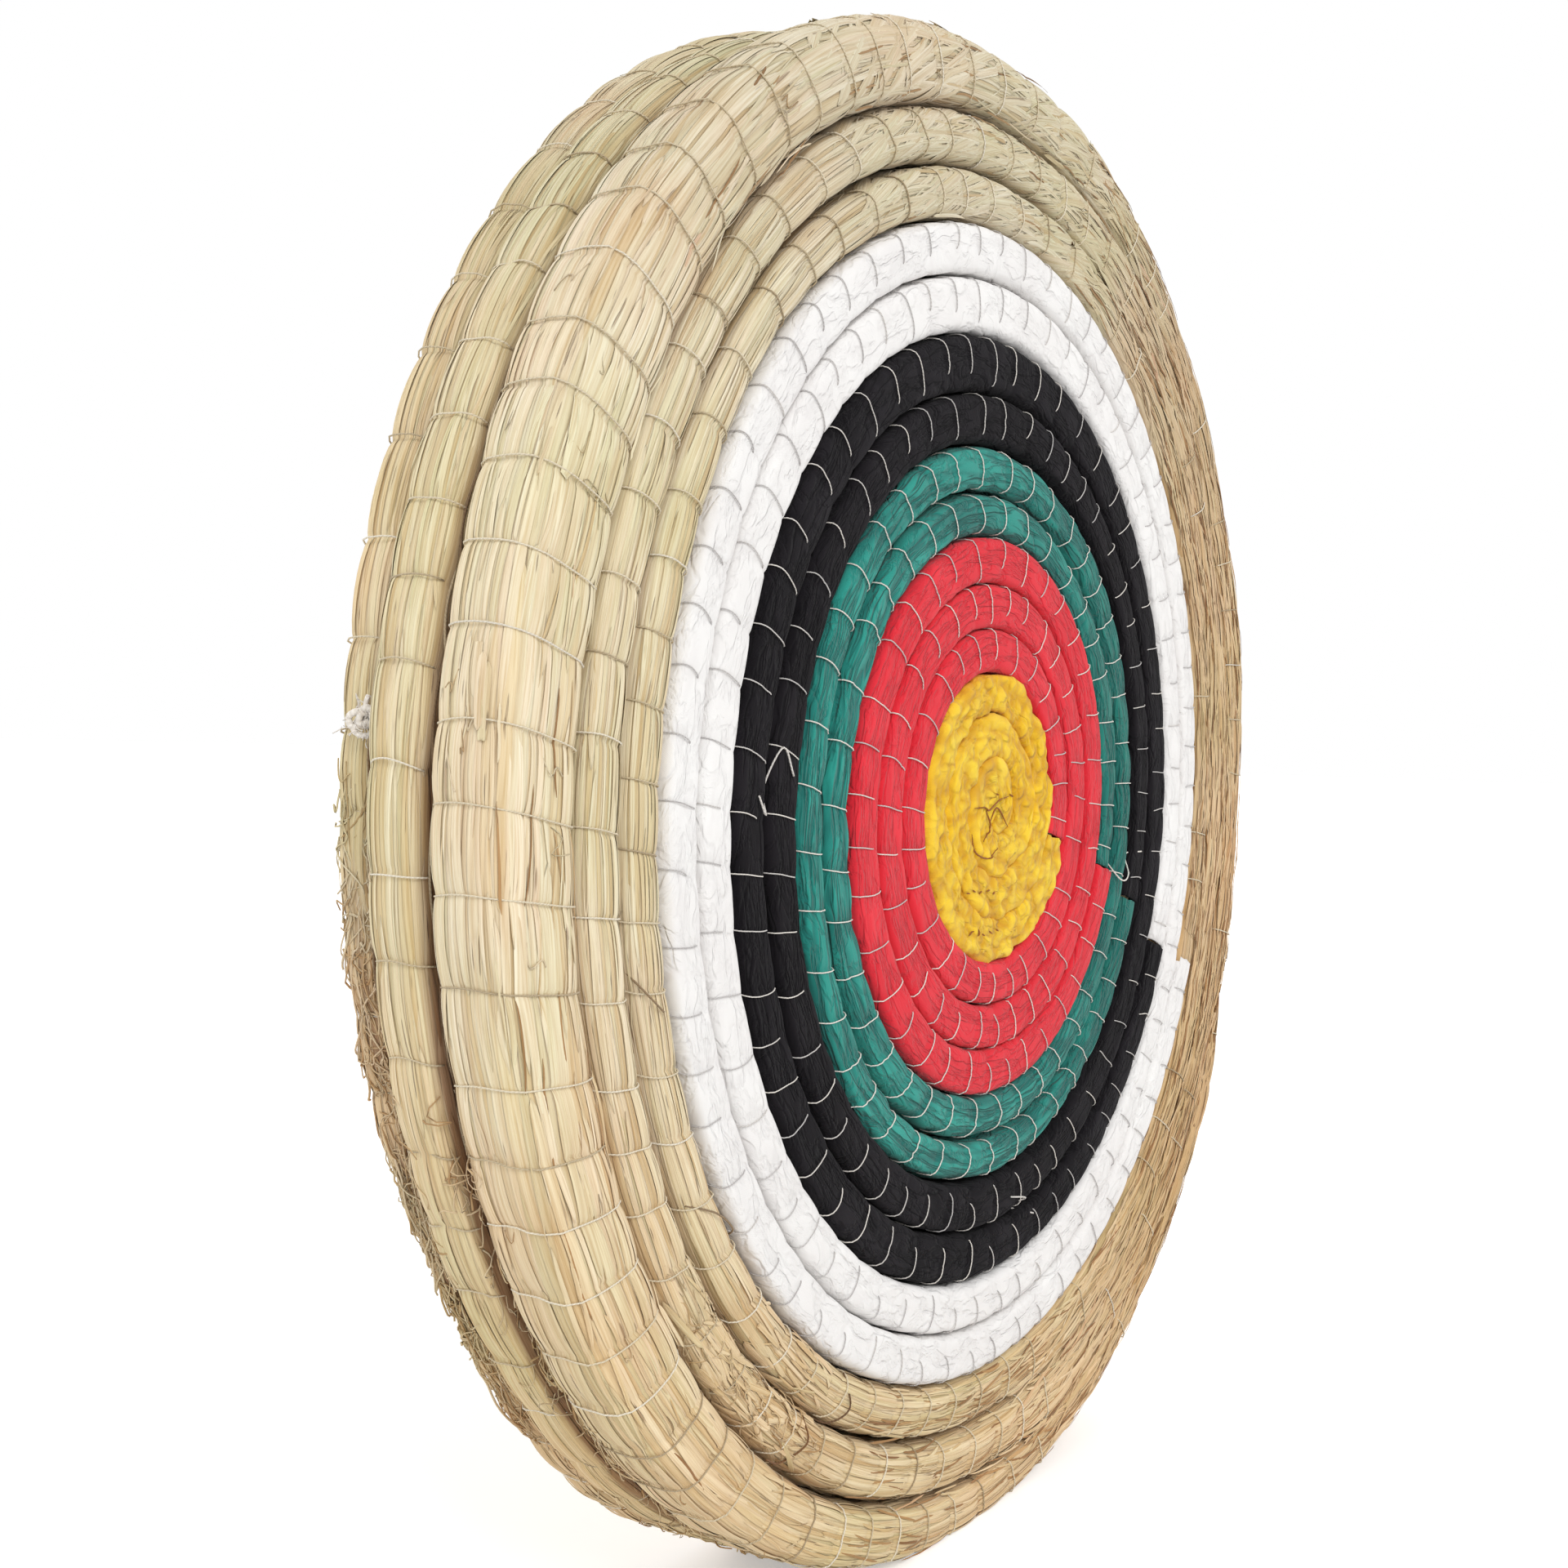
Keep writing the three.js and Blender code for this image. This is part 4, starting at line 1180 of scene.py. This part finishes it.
# A splice where a new bundle of straw was joined, low on the left, and a small node of straw
low_left = span(front, (213, 240), 13)
splice = [
    tufts(front, low_left, (-2.6, -0.5), 60, (0.8, 2.8), (8, 22)),
    tufts(front, span(front, (226, 240), 12), (-2.6, -0.3), 26, (0.8, 2.4), (8, 22)),
    hairs(front, low_left, (-2.6, -0.5), 50, (6, 16), (0.4, 1.6)),
    tufts(front, span(front, (172, 177)), (-0.5, 0.0), 6, (0.9, 1.8), (14, 20), askew=0.08),
]
make("straw_splice", splice, strip_look, "straw")

# Floor, light, camera
FLOOR_SIZE, FLOOR_DROP = 30.0, 0.0004
FLOOR_TONE, FLOOR_GLOW, DAYLIGHT = 0.9, 0.34, 0.72


def floor():
    """A pale floor that looks white to the camera and keeps the shadow."""
    corners = [(x * FLOOR_SIZE, y * FLOOR_SIZE, -FLOOR_DROP) for x, y in ((-1, -1), (1, -1), (1, 1), (-1, 1))]
    mesh = bpy.data.meshes.new("floor")
    mesh.from_pydata(corners, [], [(0, 1, 2, 3)])
    piece = bpy.data.objects.new("floor", mesh)
    bpy.context.scene.collection.objects.link(piece)
    ground = bpy.data.materials.new("floor")
    n = Nodes(ground)
    pale = n.node("BsdfDiffuse")
    pale.inputs[0].default_value = (FLOOR_TONE, FLOOR_TONE, FLOOR_TONE, 1)
    seen = n.node("LightPath").outputs["Is Camera Ray"]
    glow = n.node("Emission", {0: WHITE, 1: n.times(seen, FLOOR_GLOW)})
    both = n.node("AddShader", {0: pale.outputs[0], 1: glow.outputs[0]})
    n.node("OutputMaterial", {0: both.outputs[0]})
    mesh.materials.append(ground)


def studio():
    """Even daylight, in front of a background that is white where it is seen or mirrored."""
    world = bpy.data.worlds.new("studio")
    bpy.context.scene.world = world
    n = Nodes(world)
    ambient = n.node("Background", {0: WHITE, 1: DAYLIGHT})
    seen = n.node("Background", {0: WHITE, 1: 1.0})
    rays = n.node("LightPath").outputs
    direct = n.math("MAXIMUM", rays["Is Camera Ray"], rays["Is Glossy Ray"])
    choose = n.node("MixShader", {0: direct, 1: ambient.outputs[0], 2: seen.outputs[0]})
    n.node("OutputWorld", {0: choose.outputs[0]})


def sun(name, direction, strength, spread):
    lamp = bpy.data.lights.new(name, "SUN")
    lamp.energy, lamp.angle = strength, math.radians(spread)
    piece = bpy.data.objects.new(name, lamp)
    piece.rotation_mode = "QUATERNION"
    piece.rotation_quaternion = Vector(direction).to_track_quat("-Z", "Y")
    bpy.context.scene.collection.objects.link(piece)


floor()
studio()
sun("key", (0.55, 0.75, -0.75), 1.15, 25)
sun("fill", (-0.5, 0.9, -0.3), 0.3, 60)
sun("back_fill", (0.2, -0.9, -0.5), 0.9, 40)


def photo_camera():
    """The camera that sees the face as the photograph does."""
    yaw, pitch, roll = (math.radians(a) for a in (YAW, PITCH, ROLL))
    axes = np.array([[math.cos(yaw), 0, math.sin(yaw)], [0, -1, 0], [math.sin(yaw), 0, -math.cos(yaw)]]).T
    cp, sp, cr, sr = math.cos(pitch), math.sin(pitch), math.cos(roll), math.sin(roll)
    tilt = np.array([[1, 0, 0], [0, cp, -sp], [0, sp, cp]])
    spin = np.array([[cr, -sr, 0], [sr, cr, 0], [0, 0, 1]])
    to_camera = spin @ tilt @ axes
    half = FRAME_PX / 2
    face = np.array([(FACE_PX[0] - half) / FOCAL_PX, (FACE_PX[1] - half) / FOCAL_PX, 1.0]) * FACE_AWAY
    eye = -to_camera.T @ face
    row = np.array([[1, 0, 0], [0, 0, -1], [0, 1, 0]])
    right, down, ahead = (row @ axis for axis in to_camera)
    eye = (row @ eye + origin) * MM
    data = bpy.data.cameras.new("camera")
    data.lens, data.sensor_width = LENS, SENSOR
    data.clip_start, data.clip_end = 0.01, 100.0
    camera = bpy.data.objects.new("camera", data)
    bpy.context.scene.collection.objects.link(camera)
    turned = np.array([right, -down, -ahead]).T
    camera.matrix_world = Matrix.Translation(eye) @ Matrix(turned.tolist()).to_4x4()
    bpy.context.scene.camera = camera


photo_camera()
bpy.context.scene.view_settings.view_transform = "Standard"
